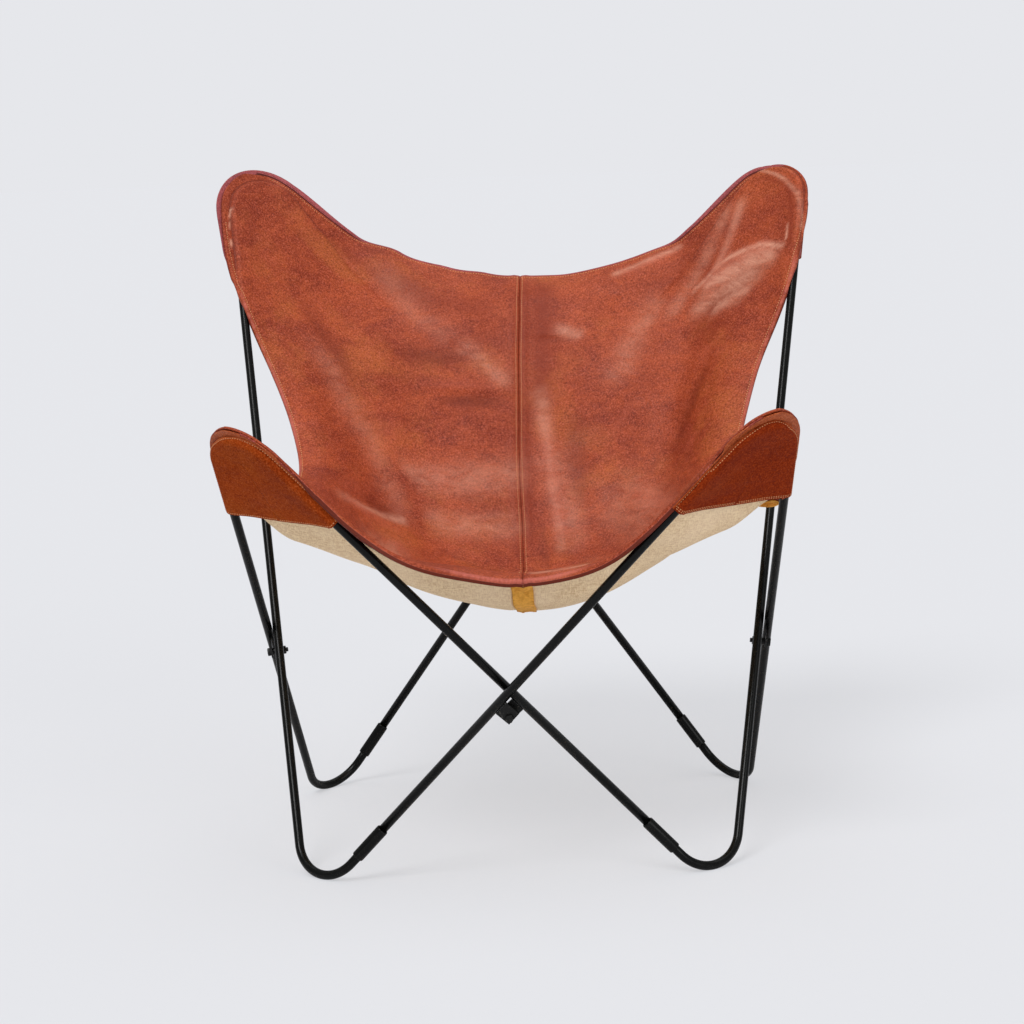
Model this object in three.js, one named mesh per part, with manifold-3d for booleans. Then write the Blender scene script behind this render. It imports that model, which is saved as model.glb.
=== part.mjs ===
// Butterfly sling chair: two closed loops of round steel rod that pass through each other, bolted together at
// their four crossings, and a leather sling that hangs from the four upper bends by a pocket at each corner.
// Millimetres, +Z up. The chair faces -Y, and its left side is at -X as seen from the front.
import * as THREE from "three";
import { mergeVertices } from "three/addons/utils/BufferGeometryUtils.js";
import Module from "manifold-3d";

const wasm = await Module();
wasm.setup();

// Driving dimensions of the rod frame. The corners are where the straight legs of a bend would meet.
const rodDiameter = 12;
const bendRadius = 56; // centre line of every bend
const frontCornerHalfWidth = 369;
const frontCornerDepth = 352;
const frontCornerHeight = 652;
const backCornerHalfWidth = 439;
const backCornerDepth = 388;
const backCornerHeight = 996;
const frontFootHalfWidth = 277;
const footDepth = 251;
const rodClearance = 0.5; // between two rods where they cross
const footFlatDepth = 0.5; // worn flat under each foot bend

// Joint sleeves, one on each loop's two joints
const sleeveLength = 52;
const sleeveDiameter = 16;
const sleeveChamfer = 0.8;
const sleeveToBend = 38; // from a foot bend's end to the sleeve's middle
const jointGap = 1; // between the two rod ends inside a sleeve

// Crossing brackets: a tab on each rod, and one bolt through both
const tabWidth = 20;
const tabThickness = 3;
const tabLead = 7; // from the bolt to the tab's lower edge, along the rod
const tabMargin = 5.5; // from the bolt to the tab's outer edge
const boltDrop = 34; // from the crossing down to the bolt
const boltDiameter = 6;
const boltHeadFlats = 10;
const boltHeadHeight = 4;
const boltTail = 3; // beyond the nut
const nutHeight = 5;
const spacerDiameter = 10;

// Sling: leather panels, canvas lining, pockets and trim
const leatherThickness = 3;
const pocketThickness = 2;
const liningThickness = 1.5;
const stripWidth = 26;
const stripThickness = 1.8;
const fitGap = 0.3; // between pieces that touch
const seamGap = 0.5; // between the two leather panels
const backRim = 17; // leather beyond the rod's centre line, round the back bends
const frontRim = 14; // the same round the front bends
const backPocketLength = 150; // from the arc's centre line down to the pocket's mouth
const frontPocketLength = 130;
const frontMouthTilt = 8; // how much higher the mouth is at the side leg than at the crossing leg
const backPocketOverhang = 4; // pocket edge beyond the panel's edge
const frontPocketInset = 4; // pocket edge short of the panel's edge
const topEdgeHeight = 741; // middle of the upper edge
const topEdgeDepth = 402;
const frontEdgeRise = 147.1; // middle of the front edge, above the crossing of the front rods
const frontEdgeDepth = 326;
const sideEdgeHeight = 466; // lowest stretch of a side edge
const sideEdgeClearance = 43.8; // from the side legs in to the edge there
const bellyLift = 47; // how far a taut seat stands above a slack one
const facingWidth = 25; // sewn facings under the edges
const reinforcementLength = 24; // tabs beside the front pockets' mouths
const reinforcementShare = 0.7; // where they start along the side edge

// Mesh counts
const rodSides = 12;
const bendSteps = 11;
const roundSides = 16;
const curveSteps = 24; // between two points of an outline
const halfColumns = 14; // between a side facing and the centre strap
const upperRows = 22; // between the upper facing and the reinforcements
const lowerRows = 3; // between the reinforcements and the front facing
const cutOverrun = 20; // how far a cutting solid runs past what it cuts

const rodRadius = rodDiameter / 2;
const boltRadius = boltDiameter / 2;
const rodSpacing = rodDiameter + rodClearance;
const vec = (x, y, z) => new THREE.Vector3(x, y, z);

// Colours and surfaces
const finishes = {
  rod: { color: 0x0b0c0b, roughness: 0.35, metalness: 0.6 },
  hardware: { color: 0x101110, roughness: 0.4, metalness: 0.7 },
  leather: { color: 0xa1452c, roughness: 0.38, metalness: 0 },
  pocket: { color: 0x80290f, roughness: 0.55, metalness: 0 },
  canvas: { color: 0xc9b391, roughness: 0.95, metalness: 0 },
  strap: { color: 0xc1924a, roughness: 0.7, metalness: 0 },
};

const chair = new THREE.Group();
const addPiece = (name, geometry, finish) => {
  const mesh = new THREE.Mesh(geometry, new THREE.MeshStandardMaterial(finishes[finish]));
  mesh.name = name;
  chair.add(mesh);
  return mesh;
};

// Solid joins and cuts
function solidOf(geometry) {
  const bare = geometry.index ? geometry.toNonIndexed() : geometry.clone();
  for (const name of Object.keys(bare.attributes)) if (name !== "position") bare.deleteAttribute(name);
  const merged = mergeVertices(bare, 1e-4);
  return new wasm.Manifold(
    new wasm.Mesh({
      numProp: 3,
      vertProperties: new Float32Array(merged.attributes.position.array),
      triVerts: new Uint32Array(merged.index.array),
    }),
  );
}

function geometryOf(solid) {
  const mesh = solid.getMesh();
  return new THREE.BufferGeometry()
    .setAttribute("position", new THREE.BufferAttribute(new Float32Array(mesh.vertProperties), 3))
    .setIndex(new THREE.BufferAttribute(new Uint32Array(mesh.triVerts), 1));
}

// A regular polygon's points, one flat side or one corner on the x axis
function polygon(count, radius, turn = 0) {
  return Array.from({ length: count }, (_, i) => {
    const angle = turn + (2 * Math.PI * i) / count;
    return new THREE.Vector2(radius * Math.cos(angle), radius * Math.sin(angle));
  });
}

// The matrix that stands a piece's own axes on three directions at a place
const standOn = (x, y, z, place) => new THREE.Matrix4().makeBasis(x, y, z).setPosition(place);

// The two loops, each with four corners in order: front top, back foot, back top, front foot.
// The first loop's front leg runs behind the second loop's, and its back leg in front of it.
function corners(backFootHalfWidth, footHeights) {
  const y = rodSpacing / 2;
  return {
    frontLeft: vec(-frontCornerHalfWidth, -frontCornerDepth + y, frontCornerHeight),
    frontRight: vec(frontCornerHalfWidth, -frontCornerDepth - y, frontCornerHeight),
    backLeft: vec(-backCornerHalfWidth, backCornerDepth + y, backCornerHeight),
    backRight: vec(backCornerHalfWidth, backCornerDepth - y, backCornerHeight),
    footFrontRight: vec(frontFootHalfWidth, -footDepth + y, footHeights.footFrontRight),
    footFrontLeft: vec(-frontFootHalfWidth, -footDepth - y, footHeights.footFrontLeft),
    footBackLeft: vec(-backFootHalfWidth, footDepth - y, footHeights.footBackLeft),
    footBackRight: vec(backFootHalfWidth, footDepth + y, footHeights.footBackRight),
  };
}

// For each corner, the corners that its side leg and its crossing leg run to
const legs = {
  frontLeft: ["footBackLeft", "footFrontRight"],
  frontRight: ["footBackRight", "footFrontLeft"],
  backLeft: ["footFrontLeft", "footBackRight"],
  backRight: ["footFrontRight", "footBackLeft"],
  footFrontLeft: ["backLeft", "frontRight"],
  footFrontRight: ["backRight", "frontLeft"],
  footBackLeft: ["frontLeft", "backRight"],
  footBackRight: ["frontRight", "backLeft"],
};

// A bend: its arc's centre, its plane's axes and the half angle between its legs
function bendAt(places, name) {
  const corner = places[name];
  const [sideLeg, crossLeg] = legs[name].map((other) => places[other].clone().sub(corner).normalize());
  const up = sideLeg.clone().add(crossLeg).normalize().negate();
  const halfAngle = sideLeg.angleTo(crossLeg) / 2;
  const centre = corner.clone().addScaledVector(up, -bendRadius / Math.sin(halfAngle));
  const across = crossLeg.clone().addScaledVector(up, -crossLeg.dot(up)).normalize();
  return { corner, sideLeg, crossLeg, up, across, halfAngle, centre };
}

// A point on a bend's arc at an angle from its middle, towards the crossing leg
function onArc(bend, angle, radius) {
  return bend.centre
    .clone()
    .addScaledVector(bend.up, radius * Math.cos(angle))
    .addScaledVector(bend.across, radius * Math.sin(angle));
}

// Each foot's corner is sunk until its bend touches the floor, and the back feet are set wide enough
// for the side legs to pass each other.
function settle() {
  const heights = { footFrontLeft: 0, footFrontRight: 0, footBackLeft: 0, footBackRight: 0 };
  let backFootHalfWidth = frontFootHalfWidth;
  const rounds = 40;
  for (let round = 0; round < rounds; round++) {
    const places = corners(backFootHalfWidth, heights);
    for (const foot of Object.keys(heights)) {
      const bend = bendAt(places, foot);
      const lowest = bend.centre.z - bendRadius * Math.hypot(bend.up.z, bend.across.z);
      heights[foot] += rodRadius - footFlatDepth - lowest;
    }
    const outer = bendAt(places, "frontLeft");
    const inner = bendAt(places, "backLeft");
    const { first, second } = closestPoints(outer.corner, outer.sideLeg, inner.corner, inner.sideLeg);
    const along = first.distanceTo(outer.corner) / outer.corner.distanceTo(places.footBackLeft);
    backFootHalfWidth += (rodSpacing - (second.x - first.x)) / along;
  }
  return corners(backFootHalfWidth, heights);
}

// The two points where two lines pass closest to each other
function closestPoints(startA, alongA, startB, alongB) {
  const between = startB.clone().sub(startA);
  const cosine = alongA.dot(alongB);
  const spread = 1 - cosine * cosine;
  const stepA = (between.dot(alongA) - cosine * between.dot(alongB)) / spread;
  const stepB = (cosine * between.dot(alongA) - between.dot(alongB)) / spread;
  return {
    first: startA.clone().addScaledVector(alongA, stepA),
    second: startB.clone().addScaledVector(alongB, stepB),
  };
}

const places = settle();
const bends = Object.fromEntries(Object.keys(legs).map((name) => [name, bendAt(places, name)]));

// A rod's centre line. Its steps fall on the ends of the straight legs and evenly round the bends.
class RodPath extends THREE.Curve {
  constructor(stations) {
    super();
    this.stations = stations;
  }
  getPoint(t, target = new THREE.Vector3()) {
    const last = this.stations.length - 1;
    const index = Math.min(Math.floor(t * last), last - 1);
    return target.lerpVectors(this.stations[index].point, this.stations[index + 1].point, t * last - index);
  }
  getPointAt(t, target) {
    return this.getPoint(t, target);
  }
  getTangentAt(t, target = new THREE.Vector3()) {
    const last = this.stations.length - 1;
    return target.copy(this.stations[Math.round(t * last)].along);
  }
}

// The stations round one bend, from one leg to the other
function bendStations(bend, fromCross) {
  const reach = Math.PI / 2 - bend.halfAngle;
  const turn = fromCross ? -1 : 1;
  return Array.from({ length: bendSteps + 1 }, (_, i) => {
    const angle = turn * reach * ((2 * i) / bendSteps - 1);
    const along = bend.across
      .clone()
      .multiplyScalar(Math.cos(angle))
      .addScaledVector(bend.up, -Math.sin(angle))
      .multiplyScalar(turn);
    return { point: onArc(bend, angle, bendRadius), along };
  });
}

// Where a sleeve's middle lies on the crossing leg above a foot
function sleevePlace(foot) {
  const bend = bends[foot];
  const legStart = bendRadius / Math.tan(bend.halfAngle);
  return bend.corner.clone().addScaledVector(bend.crossLeg, legStart + sleeveToBend);
}

// One rod: up from the sleeve beside its own foot, round the foot, up the side, round the top and down
// the crossing leg to the sleeve beside another rod's foot.
function rodSolid(foot, top, otherFoot) {
  const startAlong = bends[foot].crossLeg.clone().negate();
  const endAlong = bends[top].crossLeg.clone();
  const start = sleevePlace(foot).addScaledVector(startAlong, jointGap / 2);
  const end = sleevePlace(otherFoot).addScaledVector(endAlong, -jointGap / 2);
  const stations = [
    { point: start, along: startAlong },
    ...bendStations(bends[foot], true),
    ...bendStations(bends[top], false),
    { point: end, along: endAlong },
  ];
  const tube = new THREE.ExtrudeGeometry(new THREE.Shape(polygon(rodSides, rodRadius)), {
    steps: stations.length - 1,
    extrudePath: new RodPath(stations),
  });
  const floor = new THREE.BoxGeometry(2 * backCornerHalfWidth, 2 * backCornerDepth, cutOverrun);
  floor.translate(0, 0, -cutOverrun / 2);
  return geometryOf(solidOf(tube).subtract(solidOf(floor)));
}

const rods = {
  rod_front_left: ["footBackLeft", "frontLeft", "footFrontRight"],
  rod_front_right: ["footBackRight", "frontRight", "footFrontLeft"],
  rod_back_left: ["footFrontLeft", "backLeft", "footBackRight"],
  rod_back_right: ["footFrontRight", "backRight", "footBackLeft"],
};
for (const [name, [foot, top, otherFoot]] of Object.entries(rods)) {
  addPiece(name, rodSolid(foot, top, otherFoot), "rod");
}

// A round ring about its own z axis, from bore to outside, with chamfered outer edges
function ringGeometry(bore, outside, length, chamfer) {
  const half = length / 2;
  const profile = [
    [bore, -half],
    [outside - chamfer, -half],
    [outside, chamfer - half],
    [outside, half - chamfer],
    [outside - chamfer, half],
    [bore, half],
    [bore, -half],
  ].map(([x, y]) => new THREE.Vector2(x, y));
  return new THREE.LatheGeometry(profile, roundSides).rotateX(Math.PI / 2);
}

const sleeveNames = {
  footFrontLeft: "sleeve_front_left",
  footFrontRight: "sleeve_front_right",
  footBackLeft: "sleeve_back_left",
  footBackRight: "sleeve_back_right",
};
for (const [foot, name] of Object.entries(sleeveNames)) {
  const ring = ringGeometry(rodRadius + fitGap, sleeveDiameter / 2, sleeveLength, sleeveChamfer);
  const sleeve = addPiece(name, ring, "rod");
  sleeve.position.copy(sleevePlace(foot));
  sleeve.quaternion.setFromUnitVectors(vec(0, 0, 1), bends[foot].crossLeg);
}

// A crossing: its middle, the direction out of the chair and the direction down between the rods
function crossingOf(outerBend, innerBend, leg) {
  const outerRod = { place: bends[outerBend].corner, along: bends[outerBend][leg] };
  const innerRod = { place: bends[innerBend].corner, along: bends[innerBend][leg] };
  const { first, second } = closestPoints(outerRod.place, outerRod.along, innerRod.place, innerRod.along);
  const outward = first.clone().sub(second).normalize();
  const down = outerRod.along.clone().add(innerRod.along);
  down.addScaledVector(outward, -down.dot(outward)).normalize();
  return {
    outward,
    down,
    spacing: first.distanceTo(second),
    middle: first.clone().add(second).multiplyScalar(0.5),
    outerRod: { centre: first, along: outerRod.along },
    innerRod: { centre: second, along: innerRod.along },
  };
}

// A square tab on a rod's lower side, in the rod's middle plane, with a hole for the bolt
function tabGeometry(crossing, rod) {
  const boltPlace = rod.centre.clone().addScaledVector(crossing.down, boltDrop);
  const reach = boltPlace.clone().sub(rod.centre);
  const alongBolt = reach.dot(rod.along);
  const aside = reach.addScaledVector(rod.along, -alongBolt);
  const asideBolt = aside.length();
  aside.normalize();
  const outline = new THREE.Shape([
    new THREE.Vector2(alongBolt + tabLead - tabWidth, rodRadius + fitGap),
    new THREE.Vector2(alongBolt + tabLead, rodRadius + fitGap),
    new THREE.Vector2(alongBolt + tabLead, asideBolt + tabMargin),
    new THREE.Vector2(alongBolt + tabLead - tabWidth, asideBolt + tabMargin),
  ]);
  const hole = polygon(roundSides, boltRadius + fitGap).map((p) => p.add(new THREE.Vector2(alongBolt, asideBolt)));
  outline.holes.push(new THREE.Path(hole));
  const plate = new THREE.ExtrudeGeometry(outline, { depth: tabThickness, bevelEnabled: false });
  plate.translate(0, 0, -tabThickness / 2);
  const face = rod.along.clone().cross(aside).normalize();
  return plate.applyMatrix4(standOn(rod.along, aside, face, rod.centre));
}

// A prism about its own z axis, from zero to its height
function prism(points, height, holeRadius) {
  const shape = new THREE.Shape(points);
  if (holeRadius) shape.holes.push(new THREE.Path(polygon(roundSides, holeRadius)));
  return new THREE.ExtrudeGeometry(shape, { depth: height, bevelEnabled: false });
}

const hexagon = (flats) => polygon(6, flats / Math.sqrt(3));

// The bolt: its head rests on the outer tab, and its shank passes both tabs, the spacer and the nut
function addBracket(name, crossing) {
  addPiece("tab_outer_" + name, tabGeometry(crossing, crossing.outerRod), "hardware");
  addPiece("tab_inner_" + name, tabGeometry(crossing, crossing.innerRod), "hardware");
  const faceOut = crossing.spacing / 2 + tabThickness / 2;
  const headSeat = faceOut + fitGap;
  const nutSeat = -faceOut - fitGap;
  const shankEnd = nutSeat - nutHeight - boltTail;
  const head = prism(hexagon(boltHeadFlats), boltHeadHeight).translate(0, 0, headSeat);
  const shankLength = headSeat + boltHeadHeight / 2 - shankEnd;
  const shank = prism(polygon(roundSides, boltRadius), shankLength).translate(0, 0, shankEnd);
  const nut = prism(hexagon(boltHeadFlats), nutHeight, boltRadius + fitGap).translate(0, 0, nutSeat - nutHeight);
  const spacerLength = crossing.spacing - tabThickness - 2 * fitGap;
  const spacer = prism(polygon(roundSides, spacerDiameter / 2), spacerLength, boltRadius + fitGap);
  spacer.translate(0, 0, -spacerLength / 2);
  const sideways = crossing.down.clone().cross(crossing.outward).normalize();
  const place = crossing.middle.clone().addScaledVector(crossing.down, boltDrop);
  const stand = standOn(sideways, crossing.down, crossing.outward, place);
  const bolt = geometryOf(solidOf(head).add(solidOf(shank)));
  addPiece("bolt_" + name, bolt.applyMatrix4(stand), "hardware");
  addPiece("nut_" + name, nut.applyMatrix4(stand), "hardware");
  addPiece("spacer_" + name, spacer.applyMatrix4(stand), "hardware");
}

addBracket("front", crossingOf("frontRight", "frontLeft", "crossLeg"));
addBracket("back", crossingOf("backLeft", "backRight", "crossLeg"));
addBracket("left", crossingOf("frontLeft", "backLeft", "sideLeg"));
addBracket("right", crossingOf("frontRight", "backRight", "sideLeg"));

// The sling. Near a bend the leather lies flat on the rods, on the sitter's side of the bend's plane.
const panelLevel = rodRadius + 2 * fitGap + liningThickness + leatherThickness / 2;
const tips = {};
for (const name of ["frontLeft", "frontRight", "backLeft", "backRight"]) {
  const bend = bends[name];
  const inward = bend.sideLeg.clone().cross(bend.crossLeg).normalize();
  if (inward.dot(bend.centre) > 0) inward.negate();
  tips[name] = { ...bend, inward };
}

// A place beside a straight leg in a bend's plane: so far down the leg, and so far outside its centre line
function besideLeg(tip, leg, down, outside) {
  const turn = leg === "crossLeg" ? 1 : -1;
  const reach = bendRadius + outside;
  return tip.centre
    .clone()
    .addScaledVector(tip.across, turn * (reach * Math.cos(tip.halfAngle) + down * Math.sin(tip.halfAngle)))
    .addScaledVector(tip.up, reach * Math.sin(tip.halfAngle) - down * Math.cos(tip.halfAngle));
}

// The leather's edge round a back bend, from the upper edge to the side edge. Each row is an angle or a
// length down the side leg, as a share of the pocket's length, with the rim's share there. The leather has
// been sat on, so its two sides hang a little differently.
const backArcShares = {
  left: [
    [0.9, 1.5],
    [0.35, 1.05],
    [-0.2, 1],
    [-0.8, 1.15],
  ],
  right: [
    [0.9, 1.15],
    [0.35, 0.8],
    [-0.2, 0.7],
    [-0.8, 0.9],
  ],
};
const backLegShares = {
  left: [
    [0.07, 1.2],
    [0.5, 1.05],
    [0.9, 0.3],
  ],
  right: [
    [0.07, 1],
    [0.5, 0.9],
    [0.9, 0.3],
  ],
};
// The same round a front bend, from the side edge to the front edge
const frontLegShares = {
  left: [
    [0.56, 0.75],
    [0.26, 0.95],
  ],
  right: [
    [0.56, 0.8],
    [0.26, 1.1],
  ],
};
const frontArcShares = {
  left: [
    [-1.05, 1],
    [-0.52, 1],
    [0, 1],
    [0.56, 1],
  ],
  right: [
    [-1.05, 1.2],
    [-0.52, 1.35],
    [0, 1.25],
    [0.56, 0.95],
  ],
};
const frontCrossLegShares = {
  left: [
    [0.07, 1.1],
    [0.53, 1.1],
    [0.92, 1.2],
  ],
  right: [
    [0.07, 0.85],
    [0.53, 0.8],
    [0.92, 0.9],
  ],
};

// The points of the free edges between the bends, as shares of the sizes that they follow. A side edge keeps
// its clearance from the side legs, and the front edge its rise over the front rods' crossing legs.
const topEdgeShares = {
  left: [
    [0.335, 1, 0.11],
    [0.576, 0.99, 0.298],
  ],
  right: [
    [0.33, 1, 0.078],
    [0.576, 0.99, 0.224],
  ],
};
const sideEdgeShares = {
  left: [
    [0.34, 0.418, 0.317],
    [0.922, 0.311, 0.181],
    [1.249, 0.149, 0.068],
    [1.091, -0.075, 0.018],
    [0.607, -0.261, 0.014],
  ],
  right: [
    [0.295, 0.418, 0.321],
    [0.852, 0.311, 0.181],
    [1.135, 0.149, 0.068],
    [1.066, -0.075, 0.018],
    [0.607, -0.261, 0.014],
  ],
};
const frontEdgeShares = {
  left: [
    [0.339, 1.006, 0.358],
    [0.184, 1.003, 0.612],
    [-0.022, 1, 1.058],
  ],
  right: [
    [0.339, 1.006, 0.283],
    [0.184, 1.003, 0.545],
    [-0.022, 1, 1.058],
  ],
};

// How far from the middle the nearer side leg stands at a height
function sideLegHalfWidth(side, height) {
  const name = side > 0 ? "Right" : "Left";
  const reaches = ["front", "back"].map((top) => {
    const { corner, sideLeg } = bends[top + name];
    return Math.abs(corner.x + (sideLeg.x * (height - corner.z)) / sideLeg.z);
  });
  return Math.min(...reaches);
}

// The height of a front rod's crossing leg at a distance from the middle
function crossLegHeight(side, reach) {
  const { corner, crossLeg } = bends[side > 0 ? "frontRight" : "frontLeft"];
  return corner.z + (crossLeg.z * (side * reach - corner.x)) / crossLeg.x;
}

// One side's edge points from the middle of the upper edge to the middle of the front edge, and which of
// them are the tips
function edgePoints(side) {
  const hand = side > 0 ? "right" : "left";
  const back = tips[side > 0 ? "backRight" : "backLeft"];
  const front = tips[side > 0 ? "frontRight" : "frontLeft"];
  const backRise = backCornerHeight - topEdgeHeight;
  const sideRise = backCornerHeight - sideEdgeHeight;
  const lift = (tip, point) => point.addScaledVector(tip.inward, panelLevel);
  const top = [
    vec(0, topEdgeDepth, topEdgeHeight),
    ...topEdgeShares[hand].map(([x, y, z]) =>
      vec(side * x * backCornerHalfWidth, y * topEdgeDepth, topEdgeHeight + z * backRise),
    ),
  ];
  const aroundBack = [
    ...backArcShares[hand].map(([angle, rim]) => lift(back, onArc(back, angle, bendRadius + rim * backRim))),
    ...backLegShares[hand].map(([down, rim]) =>
      lift(back, besideLeg(back, "sideLeg", down * backPocketLength, rim * backRim)),
    ),
  ];
  const sideEdge = sideEdgeShares[hand].map(([gap, y, z]) => {
    const height = sideEdgeHeight + z * sideRise;
    const reach = sideLegHalfWidth(side, height) - gap * sideEdgeClearance;
    return vec(side * reach, y * topEdgeDepth, height);
  });
  const aroundFront = [
    ...frontLegShares[hand].map(([down, rim]) =>
      lift(front, besideLeg(front, "sideLeg", down * frontPocketLength, rim * frontRim)),
    ),
    ...frontArcShares[hand].map(([angle, rim]) => lift(front, onArc(front, angle, bendRadius + rim * frontRim))),
    ...frontCrossLegShares[hand].map(([down, rim]) =>
      lift(front, besideLeg(front, "crossLeg", down * frontPocketLength, rim * frontRim)),
    ),
  ];
  const lip = frontEdgeShares[hand].map(([x, y, rise]) => {
    const reach = x * frontCornerHalfWidth;
    return vec(side * reach, -y * frontEdgeDepth, crossLegHeight(side, reach) + rise * frontEdgeRise);
  });
  const backTip = top.length + 2;
  const frontTip = top.length + aroundBack.length + sideEdge.length + frontLegShares[hand].length + 2;
  return { points: [...top, ...aroundBack, ...sideEdge, ...aroundFront, ...lip], backTip, frontTip };
}

// A line of points that can be asked for the place at a share of its length
function measured(points) {
  const lengths = [0];
  points.slice(1).forEach((point, i) => lengths.push(lengths[i] + point.distanceTo(points[i])));
  return (share) => {
    const wanted = THREE.MathUtils.clamp(share, 0, 1) * lengths.at(-1);
    const index = Math.max(1, lengths.findIndex((length) => length >= wanted));
    const step = (wanted - lengths[index - 1]) / (lengths[index] - lengths[index - 1]);
    return points[index - 1].clone().lerp(points[index], step);
  };
}

// The four edges of the sling, each from tip to tip: the upper and the front edge run from left to right,
// and the side edges run from back to front.
function slingEdges() {
  const left = edgePoints(-1);
  const right = edgePoints(1);
  const ring = [...left.points, ...right.points.slice(1, -1).reverse()];
  const curve = new THREE.CatmullRomCurve3(ring, true, "centripetal");
  const between = (from, to) =>
    Array.from({ length: (to - from) * curveSteps + 1 }, (_, i) =>
      curve.getPoint(((from + i / curveSteps + ring.length) % ring.length) / ring.length),
    );
  const half = left.points.length - 1;
  return {
    top: measured(between(-left.backTip, left.backTip).reverse()),
    left: measured(between(left.backTip, left.frontTip)),
    lip: measured(between(left.frontTip, 2 * half - left.frontTip)),
    right: measured(between(2 * half - left.frontTip, 2 * half - left.backTip).reverse()),
  };
}

const edges = slingEdges();
const ease = (t) => THREE.MathUtils.smoothstep(t, 0, 1);

// How the seat's lift is spread, and how far down from each bend the leather still lies on the rods
const liftPeakShare = 0.78;
const liftRisePower = 4.2;
const liftFallPower = 1.2;
const backFlatShare = 0.7;
const backFadeShare = 1.13;
const frontFlatShare = 0.63;
const frontFadeShare = 0.5;
const flatHalfWidthShare = 2.7;

// A point of the leather's middle layer. u runs from the left edge to the right, v from back to front.
// The four edges are blended across the sheet, the seat is lifted, and the corners are laid on the rods.
function slingPoint(u, v) {
  const sum = vec(0, 0, 0)
    .addScaledVector(edges.top(u), 1 - v)
    .addScaledVector(edges.lip(u), v)
    .addScaledVector(edges.left(v), 1 - u)
    .addScaledVector(edges.right(v), u)
    .addScaledVector(edges.top(0), -(1 - u) * (1 - v))
    .addScaledVector(edges.top(1), -u * (1 - v))
    .addScaledVector(edges.lip(0), -(1 - u) * v)
    .addScaledVector(edges.lip(1), -u * v);
  const rise = (v / liftPeakShare) ** liftRisePower;
  const fall = ((1 - v) / (1 - liftPeakShare)) ** liftFallPower;
  sum.z += bellyLift * rise * fall * 4 * u * (1 - u);
  for (const [name, tip] of Object.entries(tips)) {
    const isBack = name.startsWith("back");
    const length = isBack ? backPocketLength : frontPocketLength;
    const flat = length * (isBack ? backFlatShare : frontFlatShare);
    const fade = length * (isBack ? backFadeShare : frontFadeShare);
    const halfWidth = bendRadius * flatHalfWidthShare;
    const offset = sum.clone().sub(tip.centre);
    const below = -offset.dot(tip.up);
    const aside = Math.abs(offset.dot(tip.across));
    const hold = (1 - ease((below - flat) / fade)) * (1 - ease((aside - halfWidth) / halfWidth));
    sum.addScaledVector(tip.inward, hold * (panelLevel - offset.dot(tip.inward)));
  }
  return sum;
}

// The direction out of the leather on the sitter's side
const probe = 0.004;
function slingNormal(u, v) {
  const inset = (t) => THREE.MathUtils.clamp(t, 3 * probe, 1 - 3 * probe);
  const [a, b] = [inset(u), inset(v)];
  const across = slingPoint(a + probe, b).sub(slingPoint(a - probe, b));
  const down = slingPoint(a, b + probe).sub(slingPoint(a, b - probe));
  return down.cross(across).normalize();
}

// Steps from one share to another that crowd towards one end or both, where the tips bend most
const crowd = 0.5;
function steps(from, to, count, crowded) {
  return Array.from({ length: count + 1 }, (_, i) => {
    const turn = crowded * Math.PI * (i / count);
    const eased = i / count - (crowd * Math.sin(turn)) / (crowded * Math.PI);
    return from + (to - from) * eased;
  });
}

// All layers of the sling share one lattice, so their flat faces lie parallel
const slingWidth = edges.top(1).distanceTo(edges.top(0));
const slingLength = edges.top(0).distanceTo(edges.lip(0));
const facingShare = facingWidth / slingWidth;
const stripHalfShare = stripWidth / slingWidth / 2;
const reinforcementEndShare = reinforcementShare + reinforcementLength / slingLength;
const leftColumns = [0, ...steps(facingShare, 0.5 - stripHalfShare, halfColumns, 1), 0.5];
const rightColumns = leftColumns.map((u) => 1 - u).reverse();
const rows = [
  0,
  ...steps(facingShare, reinforcementShare, upperRows, 2),
  ...steps(reinforcementEndShare, 1 - facingShare, lowerRows, 2),
  1,
];

// Stations with the first and the last moved inwards
function trimmed(stations, startBy, endBy) {
  const inner = stations.slice(1, -1);
  return [stations[0] + startBy, ...inner, stations.at(-1) - endBy];
}

// A closed sheet between two levels above the leather's middle layer, at stations across and down the sling.
// Its quads are split through the sling's own corners.
function sheetGeometry(across, down, lower, upper) {
  const top = [];
  const bottom = [];
  for (const v of down) {
    for (const u of across) {
      const normal = slingNormal(u, v);
      const point = slingPoint(u, v);
      top.push(point.clone().addScaledVector(normal, upper));
      bottom.push(point.clone().addScaledVector(normal, lower));
    }
  }
  const row = across.length;
  const under = top.length;
  const faces = [];
  const quad = (a, b, c, d, turned) => faces.push(...(turned ? [b, c, d, b, d, a] : [a, b, c, a, c, d]));
  for (let j = 1; j < down.length; j++) {
    for (let i = 1; i < row; i++) {
      const turned = across[i - 1] + across[i] < 1 !== down[j - 1] + down[j] < 1;
      const a = j * row + i;
      const corner = a - row - 1;
      quad(corner, a - 1, a, a - row, turned);
      quad(under + a - row, under + a, under + a - 1, under + corner, !turned);
    }
  }
  const rim = [];
  for (let i = 0; i < row - 1; i++) rim.push(i);
  for (let j = 1; j < down.length; j++) rim.push(j * row - 1);
  for (let i = row - 1; i > 0; i--) rim.push(under - row + i);
  for (let j = down.length - 1; j > 0; j--) rim.push(j * row);
  rim.forEach((a, k) => {
    const b = rim[(k + 1) % rim.length];
    quad(a, b, under + b, under + a);
  });
  return new THREE.BufferGeometry().setFromPoints([...top, ...bottom]).setIndex(faces);
}

const halfLeather = leatherThickness / 2;
const liningTop = -halfLeather - fitGap;
const liningBottom = liningTop - liningThickness;
const stripTop = liningBottom - fitGap;
const stripBottom = stripTop - stripThickness;
const gapShare = fitGap / frontCornerHalfWidth / 2;
const seamShare = seamGap / frontCornerHalfWidth / 4;

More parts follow.
